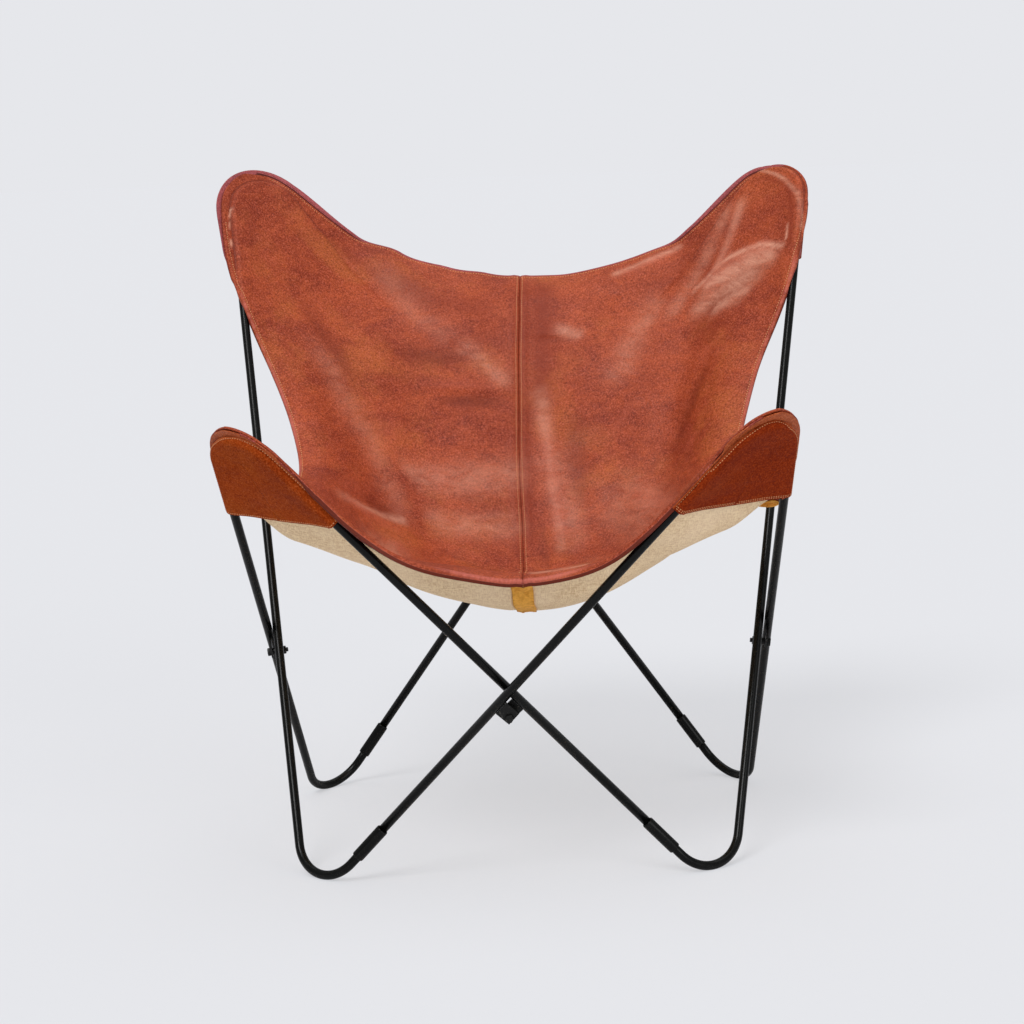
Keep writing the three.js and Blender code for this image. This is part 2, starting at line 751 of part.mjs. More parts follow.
// The two leather panels meet at the middle seam
const panelHalves = { left: trimmed(leftColumns, 0, seamShare), right: trimmed(rightColumns, seamShare, 0) };
for (const [side, columns] of Object.entries(panelHalves)) {
  addPiece("leather_panel_" + side, sheetGeometry(columns, rows, -halfLeather, halfLeather), "leather");
}

// The canvas lining covers the leather's underside within the facings
const innerRows = rows.slice(1, -1);
const liningHalves = {
  left: trimmed(leftColumns.slice(1), gapShare, seamShare),
  right: trimmed(rightColumns.slice(0, -1), seamShare, gapShare),
};
const liningRows = trimmed(innerRows, gapShare, gapShare);
for (const [side, columns] of Object.entries(liningHalves)) {
  addPiece("lining_" + side, sheetGeometry(columns, liningRows, liningBottom, liningTop), "canvas");
}

// The strap that covers the lining's middle join
const stripColumns = [leftColumns.at(-2), leftColumns.at(-1), rightColumns[1]];
addPiece("centre_strip", sheetGeometry(stripColumns, liningRows, stripBottom, stripTop), "strap");

// Leather facings under the four edges, ending inside the pockets
const innerColumns = [...leftColumns.slice(1), ...rightColumns.slice(1, -1)];
const facingColumns = { left: leftColumns.slice(0, 2), right: rightColumns.slice(-2) };
const addFacing = (name, columns, down) =>
  addPiece("facing_" + name, sheetGeometry(columns, down, liningBottom, liningTop), "leather");
addFacing("top", trimmed(innerColumns, gapShare, gapShare), trimmed(rows.slice(0, 2), 0, gapShare));
addFacing("front", trimmed(innerColumns, gapShare, gapShare), trimmed(rows.slice(-2), gapShare, 0));
addFacing("left", trimmed(facingColumns.left, 0, gapShare), trimmed(innerRows, gapShare, gapShare));
addFacing("right", trimmed(facingColumns.right, gapShare, 0), trimmed(innerRows, gapShare, gapShare));

// Reinforcing tabs under the side facings, beside the front pockets' mouths
const reinforcementRows = rows.slice(upperRows + 1, upperRows + 3);
for (const [side, columns] of Object.entries(facingColumns)) {
  const tab = sheetGeometry(trimmed(columns, gapShare, gapShare), reinforcementRows, stripBottom, stripTop);
  addPiece("reinforcement_" + side, tab, "strap");
}

// A pocket: a plate of leather under the bend, a wall round the outside of the rod and a rim that is sewn to
// the panel. It is open at its mouth, where both legs leave it.
function pocketGeometry(tip, isBack, hand) {
  const length = isBack ? backPocketLength : frontPocketLength;
  const tilt = isBack ? 0 : frontMouthTilt;
  const shares = (isBack ? backArcShares : frontArcShares)[hand].map(([, share]) => share);
  const meanShare = shares.reduce((sum, share) => sum + share) / shares.length;
  const rim = isBack ? meanShare * backRim + backPocketOverhang : meanShare * frontRim - frontPocketInset;
  const mouth = bendRadius - length;
  const reachAngle = Math.PI / 2 - tip.halfAngle;
  const outline = (outside, lowered) => {
    const radius = bendRadius + outside;
    const legPoint = (side) => {
      const bottom = mouth - lowered - (side * tilt) / 2;
      const down = (radius * Math.sin(tip.halfAngle) - bottom) / Math.cos(tip.halfAngle);
      const across = radius * Math.cos(tip.halfAngle) + down * Math.sin(tip.halfAngle);
      return new THREE.Vector2(side * across, bottom);
    };
    const arc = Array.from({ length: bendSteps + 1 }, (_, i) => {
      const angle = reachAngle * (1 - (2 * i) / bendSteps);
      return new THREE.Vector2(radius * Math.sin(angle), radius * Math.cos(angle));
    });
    return new THREE.Shape([legPoint(1), ...arc, legPoint(-1)]);
  };
  const turn = tip.across.clone().cross(tip.up).dot(tip.inward) > 0 ? 1 : -1;
  const slab = (shape, bottom, top) => {
    const plate = new THREE.ExtrudeGeometry(shape, { depth: top - bottom, bevelEnabled: false });
    return solidOf(plate.translate(0, 0, turn > 0 ? bottom : -top));
  };
  const wall = rodRadius + fitGap + pocketThickness;
  const rimTop = panelLevel + liningBottom - fitGap;
  const rimPlate = slab(outline(Math.max(rim, wall), 0), rimTop - pocketThickness, rimTop);
  const body = slab(outline(wall, 0), -wall, rimTop);
  const hollow = slab(outline(rodRadius + fitGap, cutOverrun), -rodRadius - fitGap, rimTop + cutOverrun);
  const face = tip.inward.clone().multiplyScalar(turn);
  return geometryOf(rimPlate.add(body).subtract(hollow)).applyMatrix4(standOn(tip.across, tip.up, face, tip.centre));
}

addPiece("pocket_front_left", pocketGeometry(tips.frontLeft, false, "left"), "pocket");
addPiece("pocket_front_right", pocketGeometry(tips.frontRight, false, "right"), "pocket");
addPiece("pocket_back_left", pocketGeometry(tips.backLeft, true, "left"), "pocket");
addPiece("pocket_back_right", pocketGeometry(tips.backRight, true, "right"), "pocket");

// The part's origin is on the floor under the middle of the whole chair
const box = new THREE.Box3().setFromObject(chair);
const middle = box.getCenter(vec(0, 0, 0));
chair.position.set(-middle.x, -middle.y, 0);

export default chair;
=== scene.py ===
# %% [markdown]
# # A butterfly sling chair
# The real chair is a steel rod frame with a leather sling hung over its four upper bends. The imported solids
# give every size and place. They are loaded first.

# %% Load the solids
import bmesh
import bpy
import numpy as np
from mathutils import Matrix, Vector


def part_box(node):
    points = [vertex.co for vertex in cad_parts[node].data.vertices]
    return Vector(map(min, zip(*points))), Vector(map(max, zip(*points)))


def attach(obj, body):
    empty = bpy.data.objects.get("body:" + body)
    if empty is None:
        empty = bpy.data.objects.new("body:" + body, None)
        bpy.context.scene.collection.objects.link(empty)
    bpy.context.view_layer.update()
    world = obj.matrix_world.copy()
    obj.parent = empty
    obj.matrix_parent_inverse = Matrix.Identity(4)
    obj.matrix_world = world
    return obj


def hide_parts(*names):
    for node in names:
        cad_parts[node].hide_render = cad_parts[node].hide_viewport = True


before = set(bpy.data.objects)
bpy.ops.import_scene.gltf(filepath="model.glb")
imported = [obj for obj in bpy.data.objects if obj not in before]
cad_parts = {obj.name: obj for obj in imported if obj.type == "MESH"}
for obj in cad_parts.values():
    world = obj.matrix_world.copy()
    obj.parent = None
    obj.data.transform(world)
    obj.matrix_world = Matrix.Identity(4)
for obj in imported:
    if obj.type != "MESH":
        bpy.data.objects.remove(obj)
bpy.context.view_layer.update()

# %% [markdown]
# ## Sizes
# All shapes below are worked out in millimetres, in the frame's own axes, and moved into the row frame at the
# end. The same few sizes that drive the solids are written here once, so that each surface lands where its
# solid is.

# %% Sizes of the frame and the sling
ROD = 6.0  # radius of the steel rod
BEND = 56.0  # radius of every bend, at the rod's centre line
ROD_SPACING = 12.5  # between the centre lines of two rods that cross
CORNER = {"front": (369.0, 352.0, 652.0), "back": (439.0, 388.0, 996.0)}  # where straight legs would meet
FRONT_FOOT, FOOT_DEPTH = 277.0, 251.0  # the feet's corners: out from the middle, and to the front and the back
FOOT_FLAT = 0.5  # how much of a foot bend's underside is worn flat
SLEEVE_TO_BEND = 38.0  # from the end of a foot bend to the middle of its sleeve
LEATHER, CANVAS, STRAP, POCKET_SKIN = 3.0, 1.5, 1.8, 1.4  # how thick the layers are
FIT = 0.3  # gap between two layers
RIM = {"front": 14.0, "back": 17.0}  # leather outside the rod's centre line
POCKET = {"front": 130.0, "back": 150.0}  # length of a pocket, from the top of its bend
PANEL_LEVEL = ROD + 2 * FIT + CANVAS + LEATHER / 2  # the leather's middle layer above a bend's plane


# %% Small helpers for vectors
def unit(v):
    """A vector, or each row of an array, divided by its length."""
    v = np.asarray(v, float)
    return v / np.linalg.norm(v, axis=-1, keepdims=True)


def smooth(t):
    """Eases from 0 to 1 as t goes from 0 to 1: 3 t^2 - 2 t^3, flat outside."""
    t = np.clip(t, 0, 1)
    return t * t * (3 - 2 * t)


# %% [markdown]
# ## The rod frame's lines
# The frame is four bent rods. Each rod starts in a joint sleeve beside a foot, turns round its foot, climbs one
# side, turns round an upper bend and comes down across the chair. The corners of these paths are named, and the
# feet are lowered until each bend touches the floor.

# %% Corners and legs
LEGS = {  # each corner's side leg and crossing leg, by the corner that it runs to
    "front_left": ("foot_back_left", "foot_front_right"), "front_right": ("foot_back_right", "foot_front_left"),
    "back_left": ("foot_front_left", "foot_back_right"), "back_right": ("foot_front_right", "foot_back_left"),
    "foot_front_left": ("back_left", "front_right"), "foot_front_right": ("back_right", "front_left"),
    "foot_back_left": ("front_left", "back_right"), "foot_back_right": ("front_right", "back_left"),
}


def corners(back_foot, heights):
    """All eight corners. The two loops pass each other half a rod spacing before and behind their middle."""
    half = ROD_SPACING / 2
    fx, fy, fz = CORNER["front"]
    bx, by, bz = CORNER["back"]
    return {
        "front_left": np.array([-fx, -fy + half, fz]), "front_right": np.array([fx, -fy - half, fz]),
        "back_left": np.array([-bx, by + half, bz]), "back_right": np.array([bx, by - half, bz]),
        "foot_front_right": np.array([FRONT_FOOT, -FOOT_DEPTH + half, heights["foot_front_right"]]),
        "foot_front_left": np.array([-FRONT_FOOT, -FOOT_DEPTH - half, heights["foot_front_left"]]),
        "foot_back_left": np.array([-back_foot, FOOT_DEPTH - half, heights["foot_back_left"]]),
        "foot_back_right": np.array([back_foot, FOOT_DEPTH + half, heights["foot_back_right"]]),
    }


def bend_at(places, name):
    """A bend: its arc's centre, its plane's axes, its legs and half the angle between them."""
    corner = places[name]
    side, cross = (unit(places[other] - corner) for other in LEGS[name])
    up = -unit(side + cross)
    half = np.arccos(side @ cross) / 2
    centre = corner - up * BEND / np.sin(half)
    across = unit(cross - up * (cross @ up))
    inward = unit(np.cross(side, cross))
    inward = -inward if inward @ centre > 0 else inward
    return dict(corner=corner, side=side, cross=cross, up=up, half=half, centre=centre, across=across,
                inward=inward)


def closest(a, along_a, b, along_b):
    """The two points where two lines pass closest to each other."""
    between, cosine = b - a, along_a @ along_b
    spread = 1 - cosine ** 2
    step_a = (between @ along_a - cosine * (between @ along_b)) / spread
    step_b = (cosine * (between @ along_a) - between @ along_b) / spread
    return a + along_a * step_a, b + along_b * step_b


def settle():
    """Lowers each foot until its bend touches the floor, and widens the back feet until the side legs pass."""
    heights = {name: 0.0 for name in LEGS if name.startswith("foot")}
    back_foot = FRONT_FOOT
    for _ in range(40):
        places = corners(back_foot, heights)
        for foot in heights:
            bend = bend_at(places, foot)
            lowest = bend["centre"][2] - BEND * np.hypot(bend["up"][2], bend["across"][2])
            heights[foot] += ROD - FOOT_FLAT - lowest
        outer, inner = bend_at(places, "front_left"), bend_at(places, "back_left")
        first, second = closest(outer["corner"], outer["side"], inner["corner"], inner["side"])
        along = np.linalg.norm(first - outer["corner"]) / np.linalg.norm(outer["corner"] - places["foot_back_left"])
        back_foot += (ROD_SPACING - (second[0] - first[0])) / along
    return corners(back_foot, heights)


PLACES = settle()
BENDS = {name: bend_at(PLACES, name) for name in LEGS}
TIPS = {name: bend for name, bend in BENDS.items() if not name.startswith("foot")}
print("back feet stand", round(PLACES["foot_back_right"][0] * 2), "mm apart")


# %% Into the row frame
def sleeve_place(foot):
    """Where a sleeve's middle lies on the crossing leg above a foot."""
    bend = BENDS[foot]
    return bend["corner"] + bend["cross"] * (BEND / np.tan(bend["half"]) + SLEEVE_TO_BEND)


low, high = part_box("sleeve_front_left")
SHIFT = np.array((low + high) / 2) * 1000 - sleeve_place("foot_front_left")


def to_row(points):
    """Millimetres in the frame's axes to metres in the row frame."""
    return (np.asarray(points) + SHIFT) / 1000


print("shift into the row frame, mm:", SHIFT.round(2).tolist())

# %% [markdown]
# ## The camera
# The photograph is taken from a little above the seat, almost straight ahead and far enough away for little
# perspective. The camera is made first.

# %% Camera
def put(name, data):
    """A new object in the scene's collection, at the origin."""
    made = bpy.data.objects.new(name, data)
    bpy.context.scene.collection.objects.link(made)
    return made


AIM = np.array([-4.5, 0.0, 441.5])  # what the middle of the picture shows
AWAY = 3500.0  # from the camera to that place
YAW, PITCH, ROLL = np.radians(-2.97), np.radians(8.36), np.radians(-1.89)
forward = np.array([np.sin(YAW) * np.cos(PITCH), np.cos(YAW) * np.cos(PITCH), -np.sin(PITCH)])
level = np.array([np.cos(YAW), -np.sin(YAW), 0.0])
above = np.cross(level, forward)
right = level * np.cos(ROLL) + above * np.sin(ROLL)
top = above * np.cos(ROLL) - level * np.sin(ROLL)
camera = put("camera", bpy.data.cameras.new("camera"))
camera.data.lens, camera.data.sensor_width = 89.6, 36.0
turned_to = Matrix(np.column_stack([right, top, -forward]).tolist()).to_4x4()
camera.matrix_world = Matrix.Translation(Vector(to_row(AIM - forward * AWAY))) @ turned_to
bpy.context.scene.camera = camera
print("camera stands at", np.round(camera.location, 3).tolist())


# %% [markdown]
# ## Meshes from arrays
# Every new piece is an array of points on a grid. Neighbouring grid points make four-sided faces, and the
# places where a grid closes on itself are joined by index, so that no edge is left open.

# %% Grid faces and pieces
def grid_faces(rows, columns, close_rows=False, close_columns=False, start=0):
    """Faces of a grid whose point (i, j) has index start + i * columns + j."""
    i = np.arange(rows if close_rows else rows - 1)[:, None]
    j = np.arange(columns if close_columns else columns - 1)[None, :]
    i2, j2 = (i + 1) % rows, (j + 1) % columns
    corners_of = [i * columns + j, i * columns + j2, i2 * columns + j2, i2 * columns + j]
    return np.stack(np.broadcast_arrays(*corners_of), -1).reshape(-1, 4) + start


def make_piece(name, points, faces, material, replaces=(), uv=None):
    """A piece from points in millimetres and faces, riding on the chair and standing for its CAD nodes."""
    mesh = bpy.data.meshes.new(name)
    mesh.from_pydata(to_row(points), [], faces if isinstance(faces, list) else faces.tolist())
    for layer_name, pairs in (uv or {}).items():
        layer = mesh.uv_layers.new(name=layer_name)
        loops = np.empty(len(mesh.loops), np.int32)
        mesh.loops.foreach_get("vertex_index", loops)
        layer.data.foreach_set("uv", np.asarray(pairs, np.float32)[loops].ravel())
    mesh.polygons.foreach_set("use_smooth", np.ones(len(mesh.polygons), bool))
    mesh.materials.append(material)
    mesh.update()
    piece = put(name, mesh)
    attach(piece, "root")
    if replaces:
        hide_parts(*replaces)
    return piece


def carry(profile, path, along):
    """A profile carried along a path: point = path + x * side + y * up, with side square to the path and to the
    y axis, and up square to both."""
    side = unit(np.cross(along, [0.0, 1.0, 0.0]))
    up = np.cross(side, along)
    return path[:, None] + profile[..., :1] * side[:, None] + profile[..., 1:] * up[:, None]


def circle(count, radius):
    """Points of a circle in its own plane: radius * (cos a, sin a)."""
    angle = 2 * np.pi * np.arange(count) / count
    return np.column_stack([np.cos(angle), np.sin(angle)]) * radius


def capped(rows, columns):
    """Faces of a tube of closed rings whose two ends are each one flat face."""
    faces = grid_faces(rows, columns, close_columns=True)[:, ::-1].tolist()
    return faces + [list(range(columns)), list(range((rows - 1) * columns, rows * columns))[::-1]]


# %% [markdown]
# ## Shader maths as plain expressions
# A finish is a small sum of patterns. One class wraps a socket so that patterns can be added and multiplied
# like numbers, and one method makes every other node, with its settings first and its sockets after.

# %% Shader helpers
class Wire:
    """A socket that takes part in sums: each operator adds one Math node."""

    def __init__(self, nodes, socket):
        self.nodes, self.socket = nodes, socket

    def _math(self, operation, *values):
        return self.nodes.node("ShaderNodeMath", {"operation": operation}, dict(enumerate(values)))

    def __add__(self, other): return self._math("ADD", self, other)
    def __radd__(self, other): return self._math("ADD", other, self)
    def __sub__(self, other): return self._math("SUBTRACT", self, other)
    def __rsub__(self, other): return self._math("SUBTRACT", other, self)
    def __mul__(self, other): return self._math("MULTIPLY", self, other)
    def __rmul__(self, other): return self._math("MULTIPLY", other, self)

    def clamp(self, low=0.0, high=1.0):
        """Holds the values between low and high."""
        return self.nodes.node("ShaderNodeClamp", {}, {"Value": self, "Min": low, "Max": high})

    def between(self, low, high):
        """Spreads the values from low to high over 0 to 1, smoothly, and holds them there."""
        return self.nodes.node("ShaderNodeMapRange", {"interpolation_type": "SMOOTHSTEP"},
                               {"Value": self, "From Min": low, "From Max": high})


class Nodes:
    """The node tree of a material or a world. One method makes its nodes."""

    def __init__(self, owner):
        owner.use_nodes = True
        self.tree = owner.node_tree
        self.tree.nodes.clear()

    def node(self, kind, settings, inputs, output=0):
        """A node of a kind, with its settings, then its sockets' values or links. Gives one output back."""
        made = self.tree.nodes.new(kind)
        for key, value in settings.items():
            setattr(made, key, value)
        for key, value in inputs.items():
            self.feed(made.inputs[key], value)
        return Wire(self, made.outputs[output]) if len(made.outputs) else made

    def feed(self, socket, value):
        """Links a wire to a socket, or sets its value."""
        if isinstance(value, Wire):
            self.tree.links.new(value.socket, socket)
        else:
            socket.default_value = (*value, 1.0) if socket.type == "RGBA" else value


class Paint(Nodes):
    """One material: its patterns and its Principled shader."""

    def __init__(self, name):
        self.material = bpy.data.materials.new(name)
        super().__init__(self.material)
        self.shader = self.node("ShaderNodeBsdfPrincipled", {}, {})
        self.out = self.node("ShaderNodeOutputMaterial", {}, {"Surface": self.shader})
        self.place = self.node("ShaderNodeTexCoord", {}, {}, "Object")

    def set(self, **values):
        """Sets or links sockets of the Principled shader, by name with _ for a space."""
        for key, value in values.items():
            self.feed(self.shader.socket.node.inputs[key.replace("_", " ")], value)
        return self.material

    def stretched(self, scale, turn=(0.0, 0.0, 0.0)):
        """The object's coordinates, scaled and turned."""
        return self.node("ShaderNodeMapping", {}, {"Vector": self.place, "Scale": scale, "Rotation": turn})

    def noise(self, scale, detail=3.0, roughness=0.5, vector=None, distortion=0.0):
        """Cloudy noise from 0 to 1, with scale in patches per metre."""
        return self.node("ShaderNodeTexNoise", {}, {
            "Vector": vector or self.place, "Scale": scale, "Detail": detail, "Roughness": roughness,
            "Distortion": distortion}, "Fac")

    def cells(self, scale, vector=None, feature="F1"):
        """Distance from many scattered points, or from the borders between them, for pores and grain."""
        return self.node("ShaderNodeTexVoronoi", {"feature": feature},
                         {"Vector": vector or self.place, "Scale": scale}, "Distance")

    def marks(self, name):
        """The two numbers of one of the piece's own UV maps."""
        pair = self.node("ShaderNodeUVMap", {"uv_map": name}, {})
        first = self.node("ShaderNodeSeparateXYZ", {}, {"Vector": pair}, "X")
        return first, Wire(self, first.socket.node.outputs["Y"])

    def blend(self, amount, first, second):
        """Mixes two colours by an amount."""
        return self.node("ShaderNodeMix", {"data_type": "RGBA"}, {0: amount, 6: first, 7: second}, 2)

    def bump(self, height, strength, distance, under=None):
        """A bump from a height pattern; distance is its full height in metres."""
        inputs = {"Height": height, "Strength": strength, "Distance": distance}
        if under is not None:
            inputs["Normal"] = under
        return self.node("ShaderNodeBump", {}, inputs, "Normal")


# %% [markdown]
# ## Black powder-coated steel
# The rods are black with a soft gloss: long bright lines run down them, and close up the coat has a faint
# orange-peel texture. A low roughness gives the lines, a little dust dulls them and a fine bump breaks them.

# %% Black finishes
paint = Paint("black_powder_coat")
peel = paint.noise(900.0, 2.0)
dust = paint.noise(60.0, 4.0).between(0.45, 0.75)
BLACK_COAT = paint.set(
    Base_Color=paint.blend(dust * 0.5, (0.0022, 0.0024, 0.0022), (0.006, 0.0062, 0.0056)),
    Roughness=0.22 + dust * 0.12, Specular_IOR_Level=0.15, Normal=paint.bump(peel, 0.25, 0.0002))

paint = Paint("black_hardware")
scratch = paint.noise(300.0, 4.0, vector=paint.stretched((1.0, 1.0, 6.0)))
wear_and_highlight = paint.noise(220.0, 3.0).between(0.58, 0.72)
BLACK_HARDWARE = paint.set(
    Base_Color=paint.blend(wear_and_highlight, (0.006, 0.006, 0.0055), (0.045, 0.043, 0.038)), Metallic=0.4,
    Specular_IOR_Level=0.35, Roughness=0.34 + scratch * 0.15, Normal=paint.bump(scratch, 0.3, 0.0001))
print("black finishes made")

# %% [markdown]
# ## The rods
# A bent rod is a circle carried along its centre line. The stations lie close together on the two bends and at
# the ends of the straight stretches, and the underside of each foot bend is worn flat where it stands.

# %% Rods
ROD_SIDES, BEND_STEPS = 40, 36
ROD_GAP = 0.5  # from a rod's end to the middle of its sleeve


def on_arc(bend, angle, radius):
    """Points on a bend's arc: centre + radius * (cos(angle) * up + sin(angle) * across)."""
    angle = np.asarray(angle)[..., None]
    return bend["centre"] + radius * (np.cos(angle) * bend["up"] + np.sin(angle) * bend["across"])


def bend_run(name, turn):
    """Points and directions round one bend; turn is 1 from the side leg to the crossing leg, else -1."""
    bend = BENDS[name]
    angle = turn * np.linspace(-1, 1, BEND_STEPS) * (np.pi / 2 - bend["half"])
    along = turn * (np.cos(angle)[:, None] * bend["across"] - np.sin(angle)[:, None] * bend["up"])
    return on_arc(bend, angle, BEND), along


def rod_line(name):
    """A rod's whole centre line and its directions, from sleeve to sleeve."""
    foot, other_foot = LEGS[name]
    first_way, last_way = -BENDS[foot]["cross"], BENDS[name]["cross"]
    (p1, d1), (p2, d2) = bend_run(foot, -1), bend_run(name, 1)
    first, last = sleeve_place(foot) + first_way * ROD_GAP, sleeve_place(other_foot) - last_way * ROD_GAP
    return np.vstack([first, p1, p2, last]), np.vstack([first_way, d1, d2, last_way])


for name in TIPS:
    line, along = rod_line(name)
    points = carry(circle(ROD_SIDES, ROD), line, along).reshape(-1, 3)
    points[:, 2] = np.maximum(points[:, 2], 0.0)
    make_piece(f"rod_{name}_bent", points, capped(len(line), ROD_SIDES), BLACK_COAT, ["rod_" + name])
print("rods:", len(TIPS))


# %% [markdown]
# ## The sling's surface
# The leather is one taut sheet held at four corners. Its outline is a closed smooth curve through points on the
# rod's bends and on the free edges. The inside is a Coons patch: the four edges are blended across the sheet,
# the seat is lifted a little, and each corner is laid on its rod.

# %% Outline of the sling
def beside_leg(tip, way, down, outside):
    """A place in a bend's plane, so far down a straight leg and so far outside its centre line."""
    reach = BEND + outside
    across = way * (reach * np.cos(tip["half"]) + down * np.sin(tip["half"]))
    up = reach * np.sin(tip["half"]) - down * np.cos(tip["half"])
    return tip["centre"] + across * tip["across"] + up * tip["up"]


# The two sides of a hand-cut sling differ a little. Points of the free edges are places in millimetres with x away
# from the middle. Points round a bend are an angle, or a share of the pocket's length down a leg, each with a share
# of the rim's width.
OUTLINE = {
    "left": dict(
        top=[(0, 402, 743), (34, 402, 745), (70, 402, 752.8), (137, 402, 766), (172, 401, 778), (210, 400, 804),
             (258, 398, 831)],
        back_arc=[(0.9, 1.55), (0.35, 1.45), (-0.2, 1.36), (-0.8, 1.28)],
        back_leg=[(0.07, 1.3), (0.5, 1.22), (0.9, 0.6)],
        side=[(353, 168, 634), (322, 125, 562), (303, 60, 502), (308, -30, 475.6), (329, -105, 473.5)],
        front_leg=[(0.56, 0.3), (0.26, 0.42)], front_arc=[(-1.05, 0.58), (-0.52, 1.1), (0, 1.36), (0.56, 1.2)],
        front_cross=[(0.07, 1.1), (0.53, 1.1), (0.92, 1.2)],
        lip=[(125, -328, 442), (68, -327, 418), (-8, -326, 402)]),
    "right": dict(
        top=[(0, 402, 743), (34, 402, 742.4), (70, 402, 743.4), (137, 402, 756.2), (172, 401, 766.2),
             (205, 400, 778), (258, 398, 798.5)],
        back_arc=[(0.9, 1.28), (0.35, 0.68), (-0.2, 0.68), (-0.8, 0.72)],
        back_leg=[(0.07, 0.85), (0.5, 0.66), (0.9, 0.12)],
        side=[(350, 168, 636), (325, 125, 562), (308, 60, 502), (309, -30, 475.6), (329, -105, 473.5)],
        front_leg=[(0.56, 0.45), (0.26, 0.9)], front_arc=[(-1.05, 0.9), (-0.52, 1.32), (0, 1.66), (0.56, 1.35)],
        front_cross=[(0.07, 0.85), (0.53, 0.8), (0.92, 0.9)], lip=[(125, -328, 431.5), (68, -327, 408.5)])}


def outline_points(side):
    """One side's outline from the middle of the upper edge to the middle of the front edge, and which of its points
    are its two tips."""
    mirror = np.array([1 if side == "right" else -1, 1, 1])
    points, tips = [], []
    for part, entries in OUTLINE[side].items():
        if "_" not in part:
            points += [np.array(entry, float) * mirror for entry in entries]
            continue
        place, kind = part.split("_")
        bend = BENDS[place + "_" + side]
        if kind == "arc":
            tips.append(len(points) + 2)
        for at, share in entries:
            outside = share * RIM[place]
            point = (on_arc(bend, at, BEND + outside) if kind == "arc"
                     else beside_leg(bend, 1 if kind == "cross" else -1, at * POCKET[place], outside))
            points.append(point + PANEL_LEVEL * bend["inward"])
    return points, tips


def smooth_ring(points, steps):
    """A closed centripetal Catmull-Rom curve: it passes through every point, and spans are timed by the square
    root of their length."""
    p1 = np.array(points)
    p0, p2, p3 = np.roll(p1, 1, 0), np.roll(p1, -1, 0), np.roll(p1, -2, 0)
    d0, d1, d2 = (np.sqrt(np.linalg.norm(b - a, axis=1))[:, None] for a, b in ((p0, p1), (p1, p2), (p2, p3)))
    t1 = ((p1 - p0) / d0 - (p2 - p0) / (d0 + d1) + (p2 - p1) / d1) * d1
    t2 = ((p2 - p1) / d1 - (p3 - p1) / (d1 + d2) + (p3 - p2) / d2) * d1
    s = np.linspace(0, 1, steps, endpoint=False)[:, None, None]
    curve = ((2 * s ** 3 - 3 * s ** 2 + 1) * p1 + (s ** 3 - 2 * s ** 2 + s) * t1
             + (3 * s ** 2 - 2 * s ** 3) * p2 + (s ** 3 - s ** 2) * t2)
    return curve.transpose(1, 0, 2).reshape(-1, 3)


def lengths_along(line):
    """The length run along a line at each of its points."""
    return np.r_[0, np.linalg.norm(np.diff(line, axis=0), axis=1).cumsum()]


def read_between(at, places, rows):
    """Rows of three numbers, read at some places between those where they are given."""
    return np.stack([np.interp(at, places, rows[:, k]) for k in range(3)], -1)


SPAN = 160  # steps from one of the outline's points to the next
left_points, (BACK_TIP, FRONT_TIP) = outline_points("left")
right_points, _ = outline_points("right")
ring = smooth_ring(left_points + right_points[1:][::-1], SPAN)
half_ring = (len(left_points) - 1) * SPAN


def ring_part(first, last):
    """A stretch of the outline between two of its steps."""
    return ring[np.arange(first, last + 1) % len(ring)]


EDGES = {
    "top": ring_part(-BACK_TIP * SPAN, BACK_TIP * SPAN)[::-1],
    "left": ring_part(BACK_TIP * SPAN, FRONT_TIP * SPAN),
    "lip": ring_part(FRONT_TIP * SPAN, 2 * half_ring - FRONT_TIP * SPAN),
    "right": ring_part(2 * half_ring - FRONT_TIP * SPAN, 2 * half_ring - BACK_TIP * SPAN)[::-1],
}
EDGE_LENGTHS = {name: lengths_along(line) for name, line in EDGES.items()}
print("outline:", round(sum(length[-1] for length in EDGE_LENGTHS.values())), "mm round")


def edge(name, share):
    """The points at shares of an edge's length."""
    return read_between(np.clip(share, 0, 1) * EDGE_LENGTHS[name][-1], EDGE_LENGTHS[name], EDGES[name])


# %% [markdown]
# ### Where the leather meets a rod
# Over a bend the leather is stretched: it rides up over the rod as a rounded ridge, sinks a little inside the
# bend, where only the pocket is below it, and turns down outside towards the stitched rim.

# %% The ridge over a rod
def from_rod(tip, across, up):
    """Signed distance in a bend's plane from the rod's centre line, positive outside the bend. The line is the
    arc between the two straight legs."""
    reach = np.pi / 2 - tip["half"]
    angle = np.arctan2(np.abs(across), up)
    leg = np.abs(across) * np.cos(tip["half"]) + up * np.sin(tip["half"])
    return np.where(angle < reach, np.hypot(across, up), leg) - BEND


STEP = 6.0  # how much lower the stitched rim lies than the leather over the rod


def ridge(distance):
    """Height of the leather's middle layer above a bend's plane: level over the rod, a short step down to the
    stitched rim outside, and a slow dip inside."""
    return PANEL_LEVEL - STEP * smooth((distance - 3.0) / 5.8) - 2.4 * smooth(-(distance + 4) / 34)


def in_plane(points, tip):
    """Places of points in a bend's plane, across it and up it, and their heights above it."""
    offset = points - tip["centre"]
    return offset @ tip["across"], offset @ tip["up"], offset @ tip["inward"]


LIFT, SEAT = 47.0, 0.78  # how far the seat is lifted above the blend of the four edges, and the share v where most
# How far down a pocket the leather lies fully on its rod, and over what length it comes away from it. Both are
# shares of the pocket's length, at the sling's edge and inside.
HOLD = {"front_left": ((0.28, 0.63), (0.3, 1.06)), "front_right": ((0.28, 0.63), (0.9, 1.06)),
        "back_left": ((0.3, 0.7), (0.35, 1.13)), "back_right": ((0.3, 0.7), (0.35, 1.13))}
HOLD_WIDTH = BEND * 2.7  # how far to each side of a bend's middle it lies so, and then comes away
INSIDE = 0.13  # the share of the sling past which the inside values hold


